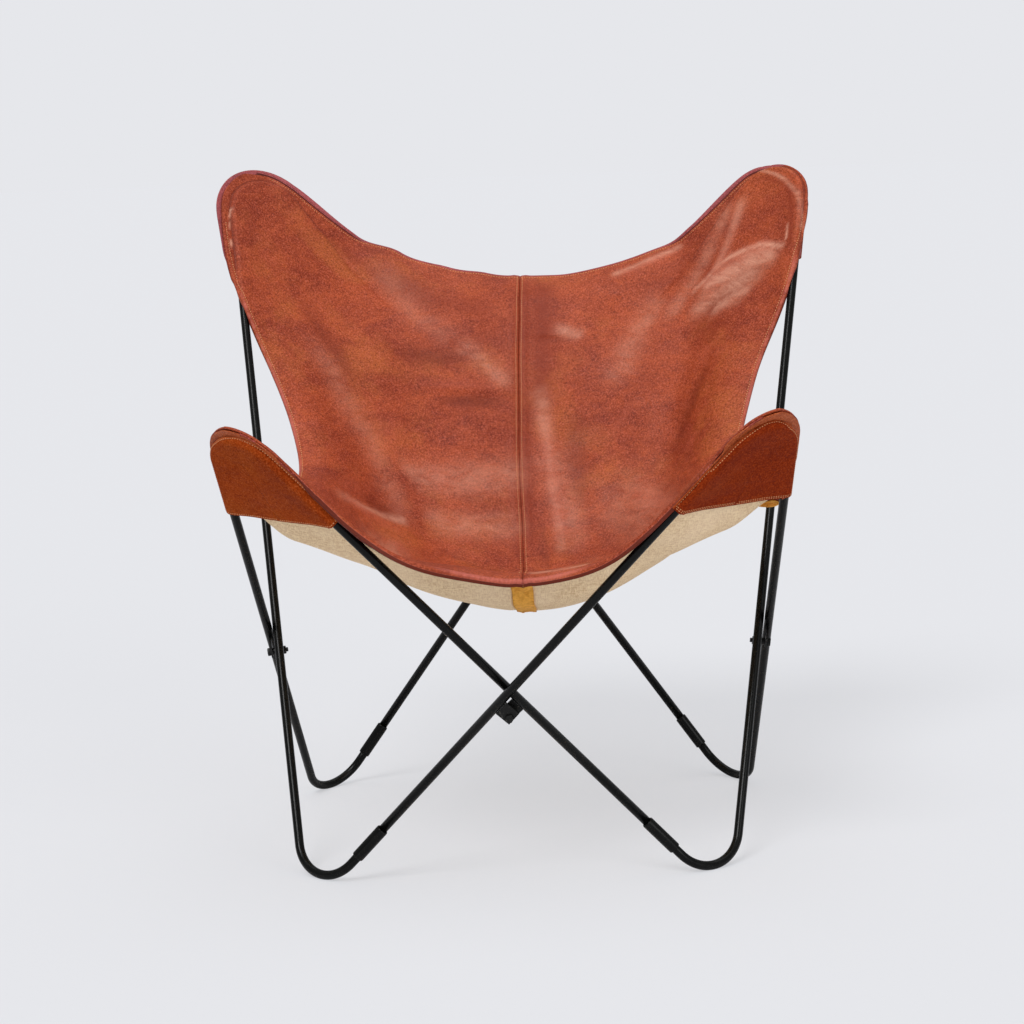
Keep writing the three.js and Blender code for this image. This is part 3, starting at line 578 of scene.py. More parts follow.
def sling(u, v):
    """The leather's middle layer. P = (1-v) top + v lip + (1-u) left + u right - the four corners' blend, with u
    from left to right and v from back to front, then the lift, then each corner laid over its rod."""
    u, v = np.broadcast_arrays(np.asarray(u, float), np.asarray(v, float))
    a, b = u[..., None], v[..., None]
    t0, t1, l0, l1 = EDGES["top"][0], EDGES["top"][-1], EDGES["lip"][0], EDGES["lip"][-1]
    points = ((1 - b) * edge("top", u) + b * edge("lip", u) + (1 - a) * edge("left", v) + a * edge("right", v)
              - (1 - a) * (1 - b) * t0 - a * (1 - b) * t1 - (1 - a) * b * l0 - a * b * l1)
    rise = np.clip(v / SEAT, 0, None) ** 4.2 * np.clip((1 - v) / (1 - SEAT), 0, None) ** 1.2
    points[..., 2] += LIFT * rise * 4 * u * (1 - u)
    for name, tip in TIPS.items():
        place = name.split("_")[0]
        off = smooth((v if place == "back" else np.minimum(u, 1 - u)) / INSIDE)
        flat, fade = (POCKET[place] * (outer + (inner - outer) * off) for outer, inner in HOLD[name])
        across, up, height = in_plane(points, tip)
        hold = (1 - smooth((-up - flat) / fade)) * (1 - smooth((np.abs(across) - HOLD_WIDTH) / HOLD_WIDTH))
        points += (hold * (ridge(from_rod(tip, across, up)) - height))[..., None] * tip["inward"]
    return points


def sling_normal(u, v):
    """The direction out of the leather on the sitter's side, from small steps along and across."""
    step = 0.003
    a, b = np.clip(u, 2 * step, 1 - 2 * step), np.clip(v, 2 * step, 1 - 2 * step)
    return unit(np.cross(sling(a, b + step) - sling(a, b - step), sling(a + step, b) - sling(a - step, b)))


probe = sling(0.5, np.linspace(0, 1, 400))
print("middle seam:", round(lengths_along(probe)[-1]), "mm, lowest", probe[:, 2].min().round())

TOP_SHARES = np.linspace(0, 1, 301)
on_top, near_top = sling(TOP_SHARES, 0.0), sling(TOP_SHARES, 0.01)
along_top = unit(np.gradient(on_top, axis=0))
across_top = (near_top - on_top) * 100
across_top = across_top - (across_top * along_top).sum(-1)[:, None] * along_top
LEAST_RATE = 220  # millimetres down the sling for a whole share of v, at the least
TOP_RATE, TOP_OUTWARD = np.maximum(np.linalg.norm(across_top, axis=-1), LEAST_RATE), -unit(across_top)


def below_top(u, distance):
    """The share v that lies a distance below the upper edge, measured square to the edge: d / |P_v across|."""
    return distance / np.interp(u, TOP_SHARES, TOP_RATE)


# %% [markdown]
# ### Folds and turned edges
# Leather that has been sat on keeps soft folds. Each fold is a line in (u, v) with a height and a width: it adds
# height * exp(-(distance / width)^2), faded towards the line's ends. At the front edge and the side edges the
# leather is turned down, as a quarter circle.

# %% Folds
WIDE, LONG = 850.0, 975.0  # the sling's middle width and length in mm, for sizes along u and v
FOLDS = [  # two ends in (u, v), height in mm, width in mm
    ((0.955, 0.160), (0.800, 0.120), 4.2, 15), ((0.945, 0.195), (0.790, 0.165), -2.6, 18),
    ((0.885, 0.040), (0.800, 0.150), 1.8, 16), ((0.760, 0.026), (0.640, 0.040), 2.2, 12),
    ((0.520, 0.114), (0.575, 0.118), 1.5, 6), ((0.522, 0.128), (0.585, 0.131), -1.5, 6),
    ((0.530, 0.190), (0.560, 0.240), 1.3, 9), ((0.536, 0.225), (0.575, 0.480), 3.0, 17),
    ((0.585, 0.230), (0.610, 0.440), -1.8, 20), ((0.530, 0.400), (0.545, 0.560), -1.6, 9),
    ((0.310, 0.520), (0.450, 0.548), -1.5, 5), ((0.270, 0.500), (0.455, 0.522), 1.5, 9),
    ((0.380, 0.384), (0.488, 0.396), 1.3, 5), ((0.345, 0.400), (0.480, 0.420), -1.2, 8),
    ((0.105, 0.590), (0.260, 0.545), 3.4, 14), ((0.140, 0.545), (0.290, 0.500), -2.2, 18),
    ((0.265, 0.066), (0.400, 0.074), -1.5, 22), ((0.165, 0.040), (0.275, 0.072), 2.4, 7),
    ((0.300, 0.112), (0.420, 0.104), 1.4, 20),
    ((0.280, 0.190), (0.440, 0.160), -2.2, 16), ((0.360, 0.247), (0.488, 0.222), -2.6, 12),
    ((0.340, 0.225), (0.480, 0.203), 2.0, 12), ((0.240, 0.022), (0.300, 0.014), -2.4, 9),
    ((0.420, 0.300), (0.492, 0.310), 1.2, 7), ((0.440, 0.335), (0.492, 0.352), -1.1, 6),
    ((0.120, 0.180), (0.220, 0.300), -1.8, 26), ((0.860, 0.280), (0.800, 0.420), -2.0, 26),
    ((0.700, 0.250), (0.640, 0.330), 1.4, 16), ((0.300, 0.300), (0.200, 0.420), 1.8, 28),
    ((0.700, 0.420), (0.860, 0.560), 2.2, 20), ((0.450, 0.440), (0.492, 0.470), 1.1, 6),
    ((0.510, 0.330), (0.530, 0.345), 1.0, 5), ((0.508, 0.400), (0.528, 0.410), 1.0, 5),
]


FOLD_BOW = 0.0192  # how far the middle of a fold bows, as a share of its length


def beside(u, v, start, end):
    """The nearest place on a line in (u, v) to each point: its share of the line, how far away it is in
    millimetres, and the line's whole length."""
    along = (np.array(end) - start) * (WIDE, LONG)
    x, y = (u - start[0]) * WIDE, (v - start[1]) * LONG
    share = np.clip((x * along[0] + y * along[1]) / (along @ along), 0, 1)
    return share, np.hypot(x - share * along[0], y - share * along[1]), np.hypot(*along)


def fold_height(u, v):
    """Sum of all folds at (u, v), in millimetres."""
    total = np.zeros(np.broadcast(u, v).shape)
    for start, end, height, width in FOLDS:
        share, off, length = beside(u, v, start, end)
        off = off + FOLD_BOW * length * np.sin(np.pi * share) * np.sign(height)
        total += height * np.exp(-(off / width) ** 2) * np.clip(4 * share * (1 - share), 0.12, 1) ** 0.6
    return total * smooth(np.minimum(v, 1 - v) * LONG / 30) * smooth(np.minimum(u, 1 - u) * WIDE / 22)


def bell(x, middle, width):
    """A smooth bump of height 1: exp(-((x - middle) / width)^2)."""
    return np.exp(-((x - middle) / width) ** 2)


def seam_share(v):
    """Where the middle seam runs: it leans towards the right along the seat."""
    return np.interp(v, [0, 0.2, 0.5, 0.62, 0.75, 1], [0.498, 0.4985, 0.4985, 0.5015, 0.5075, 0.5215])


def turned(distance, radius):
    """How far a turned edge has dropped at a distance from the edge: r (1 - sqrt(1 - (1 - d/r)^2))."""
    inside = np.clip(1 - distance / radius, 0, 1)
    return radius * (1 - np.sqrt(np.clip(1 - inside ** 2, 0, 1)))


ROW_SHARES = np.linspace(0, 1, 33)
ROW_WIDTHS = np.linalg.norm(np.diff(sling(np.linspace(0, 1, 240)[None], ROW_SHARES[:, None]), axis=1), axis=-1).sum(1)


def row_width(v):
    """The sling's width along a row, in millimetres."""
    return np.interp(v, ROW_SHARES, ROW_WIDTHS)


EDGE_TURN = 2.4  # radius of the turned front and side edges
FREE = (0.11, 0.78)  # the shares v between which the side edges hang free of the pockets
SEAM = ((-1.3, 0, 1.3), (0.8, 9.0, 4.0))  # the seam's valley and swellings: height, distance and width in mm


def cloth(u, v):
    """Middle points and normals of the dressed sling: the taut sheet with its folds, its turned edges and the
    middle seam, a narrow valley between two low swellings. Past v = 1 it hangs straight down, which makes the hem,
    and before v = 0 it goes straight on."""
    u, v = np.broadcast_arrays(np.asarray(u, float), np.asarray(v, float))
    points, normals = sling(u, np.clip(v, 0, 1)), sling_normal(u, v)
    points = points + read_between(u, TOP_SHARES, TOP_OUTWARD) * np.maximum(-v * LONG, 0)[..., None]
    wide = row_width(v)
    from_seam = np.abs(u - seam_share(v)) * wide
    height = fold_height(u, v) + sum(rise * bell(from_seam, away, width) for rise, away, width in SEAM)
    height = height - turned((1 - np.minimum(v, 1)) * LONG, EDGE_TURN) - np.maximum(v - 1, 0) * LONG
    free = smooth((v - FREE[0]) / 0.05) * (1 - smooth((v - FREE[1]) / 0.06))
    height = height - free * turned(np.minimum(u, 1 - u) * wide, EDGE_TURN)
    return points + normals * height[..., None], normals


# %% [markdown]
# ### Layers and closed sheets
# Every layer of the sling is a closed sheet: a grid of middle points, pushed out along the surface's normal on
# one side and in on the other, and joined round its rim.

# %% Closed sheets
def sheet_mesh(points, normals, lower, upper):
    """Points and faces of a closed sheet. over = P + upper n and under = P + lower n, joined round the rim."""
    rows, columns = points.shape[:2]
    count = rows * columns
    both = np.vstack([(points + normals * upper).reshape(-1, 3), (points + normals * lower).reshape(-1, 3)])
    index = np.arange(count).reshape(rows, columns)
    loop = np.concatenate([index[0, :-1], index[:-1, -1], index[-1, :0:-1], index[:0:-1, 0]])
    after = np.roll(loop, -1)
    return both, np.vstack([grid_faces(rows, columns)[:, ::-1], grid_faces(rows, columns, start=count),
                            np.column_stack([after, after + count, loop + count, loop])])


def sheet_area(points):
    """Area of a grid of points in square metres: half the length of the crossed diagonals of each cell."""
    a, b = points[1:, 1:] - points[:-1, :-1], points[1:, :-1] - points[:-1, 1:]
    return np.linalg.norm(np.cross(a, b), axis=-1).sum() / 2 / 1e6


def make_sheet(name, points, normals, layer, finish, node, uv, rests_on):
    """A piece that is a sheet, between two heights above its middle points."""
    shape, faces = sheet_mesh(points, normals, *layer)
    piece = make_piece(name, shape, faces, finish, [node], uv)
    area = sheet_area(points)


def both_layers(first, second=0.0):
    """A UV map with one pair of numbers for each grid point, the same on both layers of a sheet."""
    pair = np.stack(np.broadcast_arrays(first, second), -1).reshape(-1, 2)
    return np.vstack([pair, pair])


def spread(count, ends=1.0):
    """Shares from 0 to 1 that crowd towards both ends: t - ends * sin(2 pi t) / (2 pi)."""
    t = np.linspace(0, 1, count)
    return t - ends * np.sin(2 * np.pi * t) / (2 * np.pi)


def on_side(u, side):
    """Shares across the left half, or their mirror image on the right half."""
    return u if side == "left" else 1 - u[::-1]


def grid_normals(points):
    """Normals of a grid of points, from the differences along its rows and columns."""
    return unit(np.cross(np.gradient(points, axis=0), np.gradient(points, axis=1)) + 1e-9)


# %% [markdown]
# ## Leather, canvas and thread
# The panels are waxed grain leather: red-brown with darker clouds, orange and pink patches, a fine grain, and an
# uneven gloss. Pale highlights are painted where the gloss is strongest, and shade is painted in creases and hollows.
# The pockets are cut from a rougher, darker side. The lining is cream canvas in a plain weave. The leather pieces
# carry one or two UV maps. "run" says how near the edge is, which paints a pale highlight there and marks the dark
# cut edges and painted shade, and how far a fold lifts the leather, which paints raised folds lighter and hollows
# darker. The second map says where pale highlights are painted and where shade is painted.

# %% Leather
# The colour of the pale painted highlights on the panels.
PAINTED_HIGHLIGHT_COLOUR = (0.72, 0.34, 0.23)


def times(colour, shares):
    """A colour with its channels multiplied, held at 1."""
    return tuple(np.minimum(1.0, np.multiply(colour, shares)).tolist())


def leather(name, dark, middle, warm, pink, gloss, grain, painted_light=False, shine=0.22):
    """A leather from four colours: clouds mix the dark and the middle one, then each layer of patches, specks and
    marks mixes in one more. Marks from the "run" map paint light: a pale pink highlight near the edges and on
    raised folds, and shade in fold hollows and creases. Its darkest mark stands for cut edges and for painted shade
    in gaps and under the hem. With its second map the leather also gets pale painted highlights and painted shade."""
    paint = Paint(name)
    wrung = paint.stretched((1.0, 1.0, 2.1))
    clouds = paint.noise(5.5, 6.0, 0.66, wrung, 0.6).between(0.38, 0.60)
    mottle = paint.noise(34.0, 6.0, 0.72, wrung, 0.5).between(0.34, 0.66)
    warm_patch = paint.noise(8.0, 4.0, 0.55, paint.stretched((1.0, 1.4, 1.0), (0.4, 0.2, 1.1))).between(0.50, 0.70)
    pink_patch = paint.noise(11.0, 4.0, 0.6, paint.stretched((1.3, 1.0, 1.0), (1.0, 0.7, 0.3))).between(0.58, 0.78)
    speck = paint.noise(410.0, 4.0, 0.8)
    fleck = paint.noise(120.0, 5.0, 0.8, wrung).between(0.36, 0.64)
    run, fold_light = paint.marks("run")
    body = paint.blend((clouds * 0.5 + mottle * 0.5).clamp(), dark, middle)
    # Fold marks are a painted highlight on raised folds and painted shade in hollows; edge marks are a painted
    # highlight near an edge, and the dark of cut edges and of painted shade.
    for amount, colour in (
            (warm_patch * 0.65, warm), (pink_patch * 0.5, pink), (fleck * 0.34, dark),
            (speck.between(0.50, 0.35) * 0.85, times(dark, 0.62)), (speck.between(0.50, 0.63) * 0.62, pink),
            (fold_light.between(0.10, 0.9) * 0.28, pink), (fold_light.between(-0.10, -1.0) * 0.72, times(dark, 0.7)),
            (run.between(0.05, 0.9) * 0.62, times(pink, (1.0, 1.15, 1.6))),
            (run.between(1.25, 1.9), times(dark, 0.55))):
        body = paint.blend(amount, body, colour)
    rough = gloss + 0.14 - paint.noise(9.0, 4.0, 0.6, wrung, 0.5).between(0.45, 0.68) * 0.12 + mottle * 0.05
    # Painted shade from the second map, then pale painted highlights, where the leather is also made glossier.
    if painted_light:
        wear_and_highlight, painted_shade = paint.marks("painted_light")
        body = paint.blend(painted_shade * (0.55 + mottle * 0.45), body, dark)
        patchy = (wear_and_highlight * (0.45 + paint.noise(24.0, 6.0, 0.7, wrung, 0.6).between(0.34, 0.62) * 0.75)).clamp()
        body = paint.blend((patchy * (0.5 + speck * 0.5)).clamp(), body, PAINTED_HIGHLIGHT_COLOUR)
        rough = rough - patchy * 0.12
    creases = paint.cells(140.0, paint.stretched((1.0, 1.0, 1.6)), "DISTANCE_TO_EDGE").between(0.0, 0.09)
    height = creases * 0.3 + paint.cells(650.0) * 0.8 + speck * 1.1
    rolling = paint.bump(paint.noise(30.0, 4.0, 0.55, wrung, 0.8), 0.5, 0.0032)
    return paint.set(Base_Color=body, Roughness=rough.clamp(0.2, 0.95), Specular_IOR_Level=shine,
                     Normal=paint.bump(height, 0.5 * grain, 0.0007, rolling))


GRAIN_LEATHER = leather("grain_leather", (0.215, 0.023, 0.005), (0.455, 0.078, 0.019), (0.51, 0.128, 0.026),
                        (0.58, 0.130, 0.072), 0.34, 1.0, painted_light=True)
EDGE_LEATHER = leather("turned_leather", (0.17, 0.018, 0.010), (0.34, 0.050, 0.028), (0.34, 0.06, 0.03),
                       (0.52, 0.130, 0.12), 0.40, 1.0)
BAND_LEATHER = leather("band_leather", (0.30, 0.044, 0.008), (0.47, 0.100, 0.022), (0.47, 0.125, 0.025),
                       (0.56, 0.170, 0.070), 0.42, 0.9)
ROUGH_LEATHERS = {
    "left": leather("pocket_leather_left", (0.23, 0.026, 0.001), (0.36, 0.052, 0.003), (0.39, 0.075, 0.006),
                    (0.47, 0.105, 0.026), 0.66, 1.5, shine=0.06),
    "right": leather("pocket_leather_right", (0.175, 0.014, 0.001), (0.255, 0.026, 0.002), (0.28, 0.040, 0.004),
                     (0.39, 0.062, 0.010), 0.66, 1.5, shine=0.06)}

# %% Canvas, strap and thread
paint = Paint("canvas")
run = paint.node("ShaderNodeUVMap", {"uv_map": "run"}, {})
warp, weft = (paint.node("ShaderNodeTexWave", {"wave_type": "BANDS", "bands_direction": way},
                         {"Vector": run, "Scale": 180.0, "Distortion": 0.8, "Detail": 2.0, "Detail Scale": 0.8},
                         "Fac") for way in "XY")
slub = (paint.noise(120.0, 4.0, 0.7, paint.stretched((1.0, 1.0, 7.0))) * 0.5
        + paint.noise(130.0, 4.0, 0.7, paint.stretched((7.0, 1.0, 1.0))) * 0.5)
weave = warp * 0.5 + weft * 0.5
cloudy = paint.noise(9.0, 4.0, 0.6).between(0.35, 0.7)
tone = paint.blend((slub.between(0.38, 0.60) * 0.7 + weave * 0.3).clamp(), (0.59, 0.36, 0.190), (1.0, 0.80, 0.52))
CANVAS_FINISH = paint.set(Base_Color=paint.blend(cloudy * 0.4, tone, (0.97, 0.75, 0.52)), Roughness=0.93,
                          Specular_IOR_Level=0.1, Normal=paint.bump(weave + slub, 0.7, 0.0006))

paint = Paint("tan_strap")
grain = paint.noise(160.0, 5.0, 0.7)
stain = paint.noise(16.0, 3.0)
STRAP_FINISH = paint.set(
    Base_Color=paint.blend((grain * 0.6 + stain * 0.4).between(0.38, 0.62), (0.58, 0.235, 0.025), (0.90, 0.45, 0.08)),
    Roughness=0.66 + grain * 0.1, Specular_IOR_Level=0.1, Normal=paint.bump(grain, 0.5, 0.0004))

paint = Paint("thread")
twist = paint.noise(900.0, 2.0)
THREAD_FINISH = paint.set(Base_Color=paint.blend(twist, (0.46, 0.16, 0.06), (0.78, 0.40, 0.19)), Roughness=0.6,
                          Specular_IOR_Level=0.3, Normal=paint.bump(twist, 0.4, 0.0002))
print("soft finishes made")


# %% [markdown]
# ## The leather panels
# Two panels meet at the middle seam. Each stops a little short of the sling's upper edge, where the pocket and
# the facing behind show as a second edge.

# %% Panels
ROWS, COLUMNS = 250, 124
PANEL_SHARE = 0.4997  # of the sling's width: a panel ends just short of the seam
OUTLINE_SAMPLES = ring[::12]
PAINTED_HIGHLIGHT_MARKS = [  # two ends in (u, v), strength, width in mm: where a pale highlight is painted, and the leather is glossier
    ((0.533, 0.215), (0.572, 0.480), 0.4, 11), ((0.560, 0.112), (0.588, 0.122), 0.55, 8),
    ((0.620, 0.610), (0.800, 0.660), 0.62, 50), ((0.240, 0.640), (0.420, 0.720), 0.42, 46),
    ((0.700, 0.440), (0.850, 0.600), 0.30, 55), ((0.150, 0.300), (0.240, 0.480), 0.22, 34),
    ((0.967, 0.160), (0.913, 0.143), 1.0, 4.5), ((0.913, 0.143), (0.853, 0.120), 1.0, 4),
    ((0.853, 0.120), (0.780, 0.118), 0.8, 6), ((0.940, 0.172), (0.810, 0.135), 0.85, 15),
    ((0.915, 0.190), (0.800, 0.150), 0.8, 17), ((0.905, 0.212), (0.840, 0.185), 0.75, 12),
    ((0.880, 0.050), (0.800, 0.150), 0.42, 10), ((0.850, 0.040), (0.740, 0.130), 0.32, 15),
    ((0.700, 0.110), (0.660, 0.200), 0.3, 20), ((0.555, 0.330), (0.600, 0.470), 0.3, 24),
    ((0.550, 0.560), (0.565, 0.900), 0.3, 22), ((0.485, 0.600), (0.500, 0.930), 0.25, 15),
    ((0.620, 0.560), (0.660, 0.800), 0.3, 30), ((0.535, 0.975), (0.610, 0.978), 0.6, 5),
    ((0.300, 0.060), (0.380, 0.130), 0.18, 18), ((0.420, 0.150), (0.470, 0.190), 0.35, 14),
    ((0.300, 0.400), (0.480, 0.350), 0.38, 26), ((0.340, 0.470), (0.470, 0.440), 0.36, 24),
    ((0.300, 0.640), (0.460, 0.700), 0.3, 22), ((0.755, 0.022), (0.650, 0.034), 0.6, 6),
    ((0.153, 0.568), (0.257, 0.512), 0.6, 8), ((0.105, 0.590), (0.153, 0.568), 0.4, 10),
    ((0.017, 0.088), (0.014, 0.100), 1.0, 2.2), ((0.014, 0.108), (0.013, 0.120), 0.7, 1.8),
    ((0.012, 0.142), (0.012, 0.148), 1.0, 2.2), ((0.971, 0.126), (0.973, 0.150), 0.8, 1.8),
    ((0.937, 0.012), (0.957, 0.033), 0.75, 4), ((0.957, 0.033), (0.985, 0.075), 0.65, 4),
    ((0.985, 0.075), (0.995, 0.130), 0.4, 4)]
PAINTED_SHADE_MARKS = [  # the same for places where shade is painted
    ((0.508, 0.030), (0.514, 0.470), 0.75, 9), ((0.535, 0.040), (0.533, 0.220), 0.85, 18),
    ((0.489, 0.040), (0.486, 0.500), 0.4, 8), ((0.300, 0.050), (0.440, 0.085), 0.55, 15),
    ((0.230, 0.040), (0.300, 0.066), 0.5, 8), ((0.370, 0.145), (0.460, 0.125), 0.35, 14),
    ((0.968, 0.060), (0.983, 0.160), 0.8, 5), ((0.930, 0.030), (0.968, 0.060), 0.5, 5),
    ((0.120, 0.030), (0.200, 0.044), 0.35, 7), ((0.790, 0.175), (0.850, 0.235), 0.45, 12),
    ((0.750, 0.060), (0.700, 0.080), 0.3, 16)]


def patches(marks, u, v):
    """The strongest of all marks at (u, v). Each is strength * exp(-(distance to its line / width)^2)."""
    return np.max([strength * bell(beside(u, v, start, end)[1], 0, width)
                   for start, end, strength, width in marks], axis=0)


def edge_distance(points, block=4000):
    """Distance from each point to the sling's outline, in millimetres."""
    flat = points.reshape(-1, 3)
    parts = [np.sqrt(((flat[i:i + block, None] - OUTLINE_SAMPLES[None]) ** 2).sum(-1).min(1))
             for i in range(0, len(flat), block)]
    return np.concatenate(parts).reshape(points.shape[:2])


def upper_inset(u):
    """Millimetres from the sling's upper edge to the panel's own edge: wider beside each back bend."""
    out = np.minimum(u, 1 - u)
    return (6.0 + 4.0 * bell(out, 0.135, 0.06)) * smooth(out / 0.05)


HEM = 5.5  # height of the turned-down front edge


def panel_shares(u, v):
    """Shares of the whole sling for a panel's own shares: 0 to 1 across to the seam, and down from its own edge."""
    u, v = np.meshgrid(u, v)
    left = u[0, 0] < 0.5
    across = u * 2 * seam_share(v) if left else 1 - (1 - u) * 2 * (1 - seam_share(v))
    start, out = below_top(across, upper_inset(across)), np.minimum(across, 1 - across)
    end = 1 + HEM / LONG * smooth((out - 0.12) / 0.06)
    return across, start + v * (end - start)


CUT_EDGE_AND_SHADE = 2.0  # the number in the "run" map for the darkest leather: a cut edge, and also painted shade in gaps and under the hem
NEAR, FOLD_UNIT = 6.0, 3.0  # millimetres over which an edge counts as near, and of fold height that count as 1
CREASE_AT, CREASE_WIDTH = 8.4, 2.3  # the crease outside a rod: how far from its centre line, and how wide


def run_map(points, heights, dark_rim=True):
    """Each vertex's pair for the leather: how near the edge is, which paints a pale highlight there, and how far a
    fold lifts it, which paints raised folds lighter and hollows darker. The lower layer is marked dark at its rim,
    as a cut edge is."""
    near = np.clip(1 - edge_distance(points) / NEAR, 0, 1)
    pairs = both_layers(near, np.clip(heights / FOLD_UNIT, -1.5, 1.5))
    pairs[near.size:, 0] = np.where(dark_rim & (near.ravel() > 0.2), CUT_EDGE_AND_SHADE, 0.0)
    return pairs


def crease_shade(points):
    """How much painted shade each point gets in the crease where the leather steps down outside a rod: 1 in it."""
    most = np.zeros(points.shape[:2])
    for tip in TIPS.values():
        across, up, height = in_plane(points, tip)
        away = smooth((-up - 50) / 60) + smooth((np.abs(height) - 14) / 6)
        outside = bell(from_rod(tip, across, up), CREASE_AT, CREASE_WIDTH)
        most = np.maximum(most, outside * (1 - np.clip(away, 0, 1)))
    return most


for side in ("left", "right"):
    across, down = panel_shares(on_side(spread(COLUMNS, 0.6) * PANEL_SHARE, side), spread(ROWS, 0.92))
    points, normals = cloth(across, down)
    own = grid_normals(points)
    own = own * np.sign((own * normals).sum(-1).mean())
    from_seam = np.abs(across - seam_share(down)) * row_width(down)
    # Fold heights paint raised folds lighter and hollows darker; painted shade is added in the crease outside each rod
    # and in the seam's valley.
    run = run_map(points, fold_height(across, down) - 3.6 * crease_shade(points) - 3.4 * bell(from_seam, 0, 2.0))
    # Painted shade on the turned-down front hem, as dark as a cut edge.
    run[:, 0] = np.where(both_layers((down - 1) * LONG)[:, 0] > 0.6, CUT_EDGE_AND_SHADE, run[:, 0])
    # Pale painted highlights and painted shade, on the upper layer only.
    painted_light = both_layers(patches(PAINTED_HIGHLIGHT_MARKS, across, down), patches(PAINTED_SHADE_MARKS, across, down))
    painted_light[across.size:] = 0
    make_sheet("leather_" + side, points, unit(own + 0.02 * normals), (-LEATHER / 2, LEATHER / 2), GRAIN_LEATHER,
               "leather_panel_" + side, {"run": run, "painted_light": painted_light},
               [f"rod_{place}_{side}_bent" for place in ("front", "back")])

# %% [markdown]
# ## The lining, its strap and the facings
# The canvas covers the leather's underside in two halves. A strap covers their join, and leather facings finish
# the four edges. Seen from the front only the belly of the lining shows, below the front edge, with the end of the
# strap. Beside each front pocket a tab is sewn under the side edge, and its free end hangs below.

# %% Lining and strap
UNDER = -LEATHER / 2 - FIT
UNDER_CANVAS = UNDER - CANVAS - FIT
LINING_ROWS = (0.027, 0.973)  # where the lining starts and ends along the sling
LINING_EDGE, LINING_SEAM = 0.0345, 0.4985  # and across its left half
STRAP_HALF = 0.0155  # half the strap's width, as a share across the sling


def stretch(ends, shares):
    """Shares from 0 to 1, spread from a first to a last value: first + (last - first) * share."""
    return ends[0] + (ends[1] - ends[0]) * shares


def metres(points):
    """A UV map in metres: running length along the rows and down the columns, over both layers."""
    x = np.linalg.norm(np.diff(points, axis=1, prepend=points[:, :1]), axis=-1).cumsum(1)
    y = np.linalg.norm(np.diff(points, axis=0, prepend=points[:1]), axis=-1).cumsum(0)
    return {"run": both_layers(x / 1000, y / 1000)}


for side in ("left", "right"):
    u = on_side(stretch((LINING_EDGE, LINING_SEAM), spread(80, 0.5)), side)
    points, normals = cloth(*np.meshgrid(u, stretch(LINING_ROWS, spread(180, 0.7))))
    make_sheet("canvas_" + side, points, normals, (UNDER - CANVAS, UNDER), CANVAS_FINISH,
               "lining_" + side, metres(points), ["leather_" + side])

u, v = np.meshgrid(np.linspace(-STRAP_HALF, STRAP_HALF, 11), stretch(LINING_ROWS, spread(200, 0.7)))
points, normals = cloth(u + np.interp(v, [0, 0.5, 0.8, 1], [0.4985, 0.503, 0.5165, 0.507]), v)
make_sheet("middle_strap", points, normals, (UNDER_CANVAS - STRAP, UNDER_CANVAS), STRAP_FINISH,
           "centre_strip", metres(points), ["canvas_left", "canvas_right"])

# %% Facings and reinforcing tabs
FACING = 25.0  # width of a facing
FACED = (0.034, 0.966)  # where the upper and the front facing start and end across the sling
STANDS_UP = 4.2  # how far the upper facing stands above the sling's edge, where it shows as a second edge
for name, (across, down) in {
        "top": (stretch(FACED, np.linspace(0, 1, 300)),
                np.r_[np.linspace(-STANDS_UP, 6.0, 16), np.linspace(9, FACING, 4)] / LONG),
        "front": (stretch(FACED, np.linspace(0, 1, 260)), 1 - np.linspace(0, 1, 24)[::-1] ** 1.5 * FACING / LONG),
        "left": (np.linspace(0, FACING / WIDE, 12), stretch(LINING_ROWS, np.linspace(0, 1, 260))),
        "right": (np.linspace(1 - FACING / WIDE, 1, 12), stretch(LINING_ROWS, np.linspace(0, 1, 260)))}.items():
    u, v = np.meshgrid(across, down)
    deep = v * LONG
    points, normals = cloth(u, np.where(v > 0, below_top(u, deep), v) if name == "top" else v)
    # A pale painted highlight near each edge; the front facing's lower layer is dark at its rim, as a cut edge is.
    shade = run_map(points, 0.0, name == "front")
    if name == "top":
        above = upper_inset(u) - deep
        # Painted shadow on the facing where it meets the panel's edge, and a pale painted highlight beyond it.
        shade = both_layers(CUT_EDGE_AND_SHADE * (1 - smooth((above - 5.4) / 1.4)) + 0.5 * smooth((above - 6.8) / 1.5))
    make_sheet("edge_facing_" + name, points, normals, (UNDER - CANVAS, UNDER), EDGE_LEATHER,
               "facing_" + name, {"run": shade}, ["leather_left", "leather_right"])

TAB = np.linspace(0.70, 0.765, 14)  # where the tabs are sewn along the side edges
HANG = np.array([1.5, 4.0, 7.0, 10.0])  # how far down a tab's free end hangs, row by row
TAB_HANGS = {"left": np.full(len(TAB), 0.25), "right": np.linspace(1.05, 0.35, len(TAB))}  # share of it, along the tab
for side in ("left", "right"):
    outwards = -1 if side == "left" else 1
    u = on_side(np.linspace(0.002, FACING / WIDE - 0.002, 10), side)
    points, normals = (grid[:, ::outwards] for grid in cloth(*np.meshgrid(u, TAB)))
    points = points + normals * (UNDER_CANVAS - STRAP / 2)
    outer = unit(points[:, -1] - points[:, -2])
    free_end = points[:, -1:] + outer[:, None] * 0.8 - TAB_HANGS[side][:, None, None] * HANG[:, None] * [0, 0, 1]
    points = np.concatenate([points, free_end], 1)[:, ::outwards]
    normals = np.concatenate([normals, np.repeat(outer[:, None], len(HANG), 1)], 1)[:, ::outwards]
    make_sheet("tab_strap_" + side, points, normals, (-STRAP / 2, STRAP / 2), STRAP_FINISH,
               "reinforcement_" + side, metres(points), ["edge_facing_" + side])


# %% [markdown]
# ## The corner pockets
# Each pocket is two pieces of leather. A band is sewn under the panel's rim and wraps the rod. A plate is
# stitched on the band's edge and stretched across the bend, down to the mouth where both legs leave.

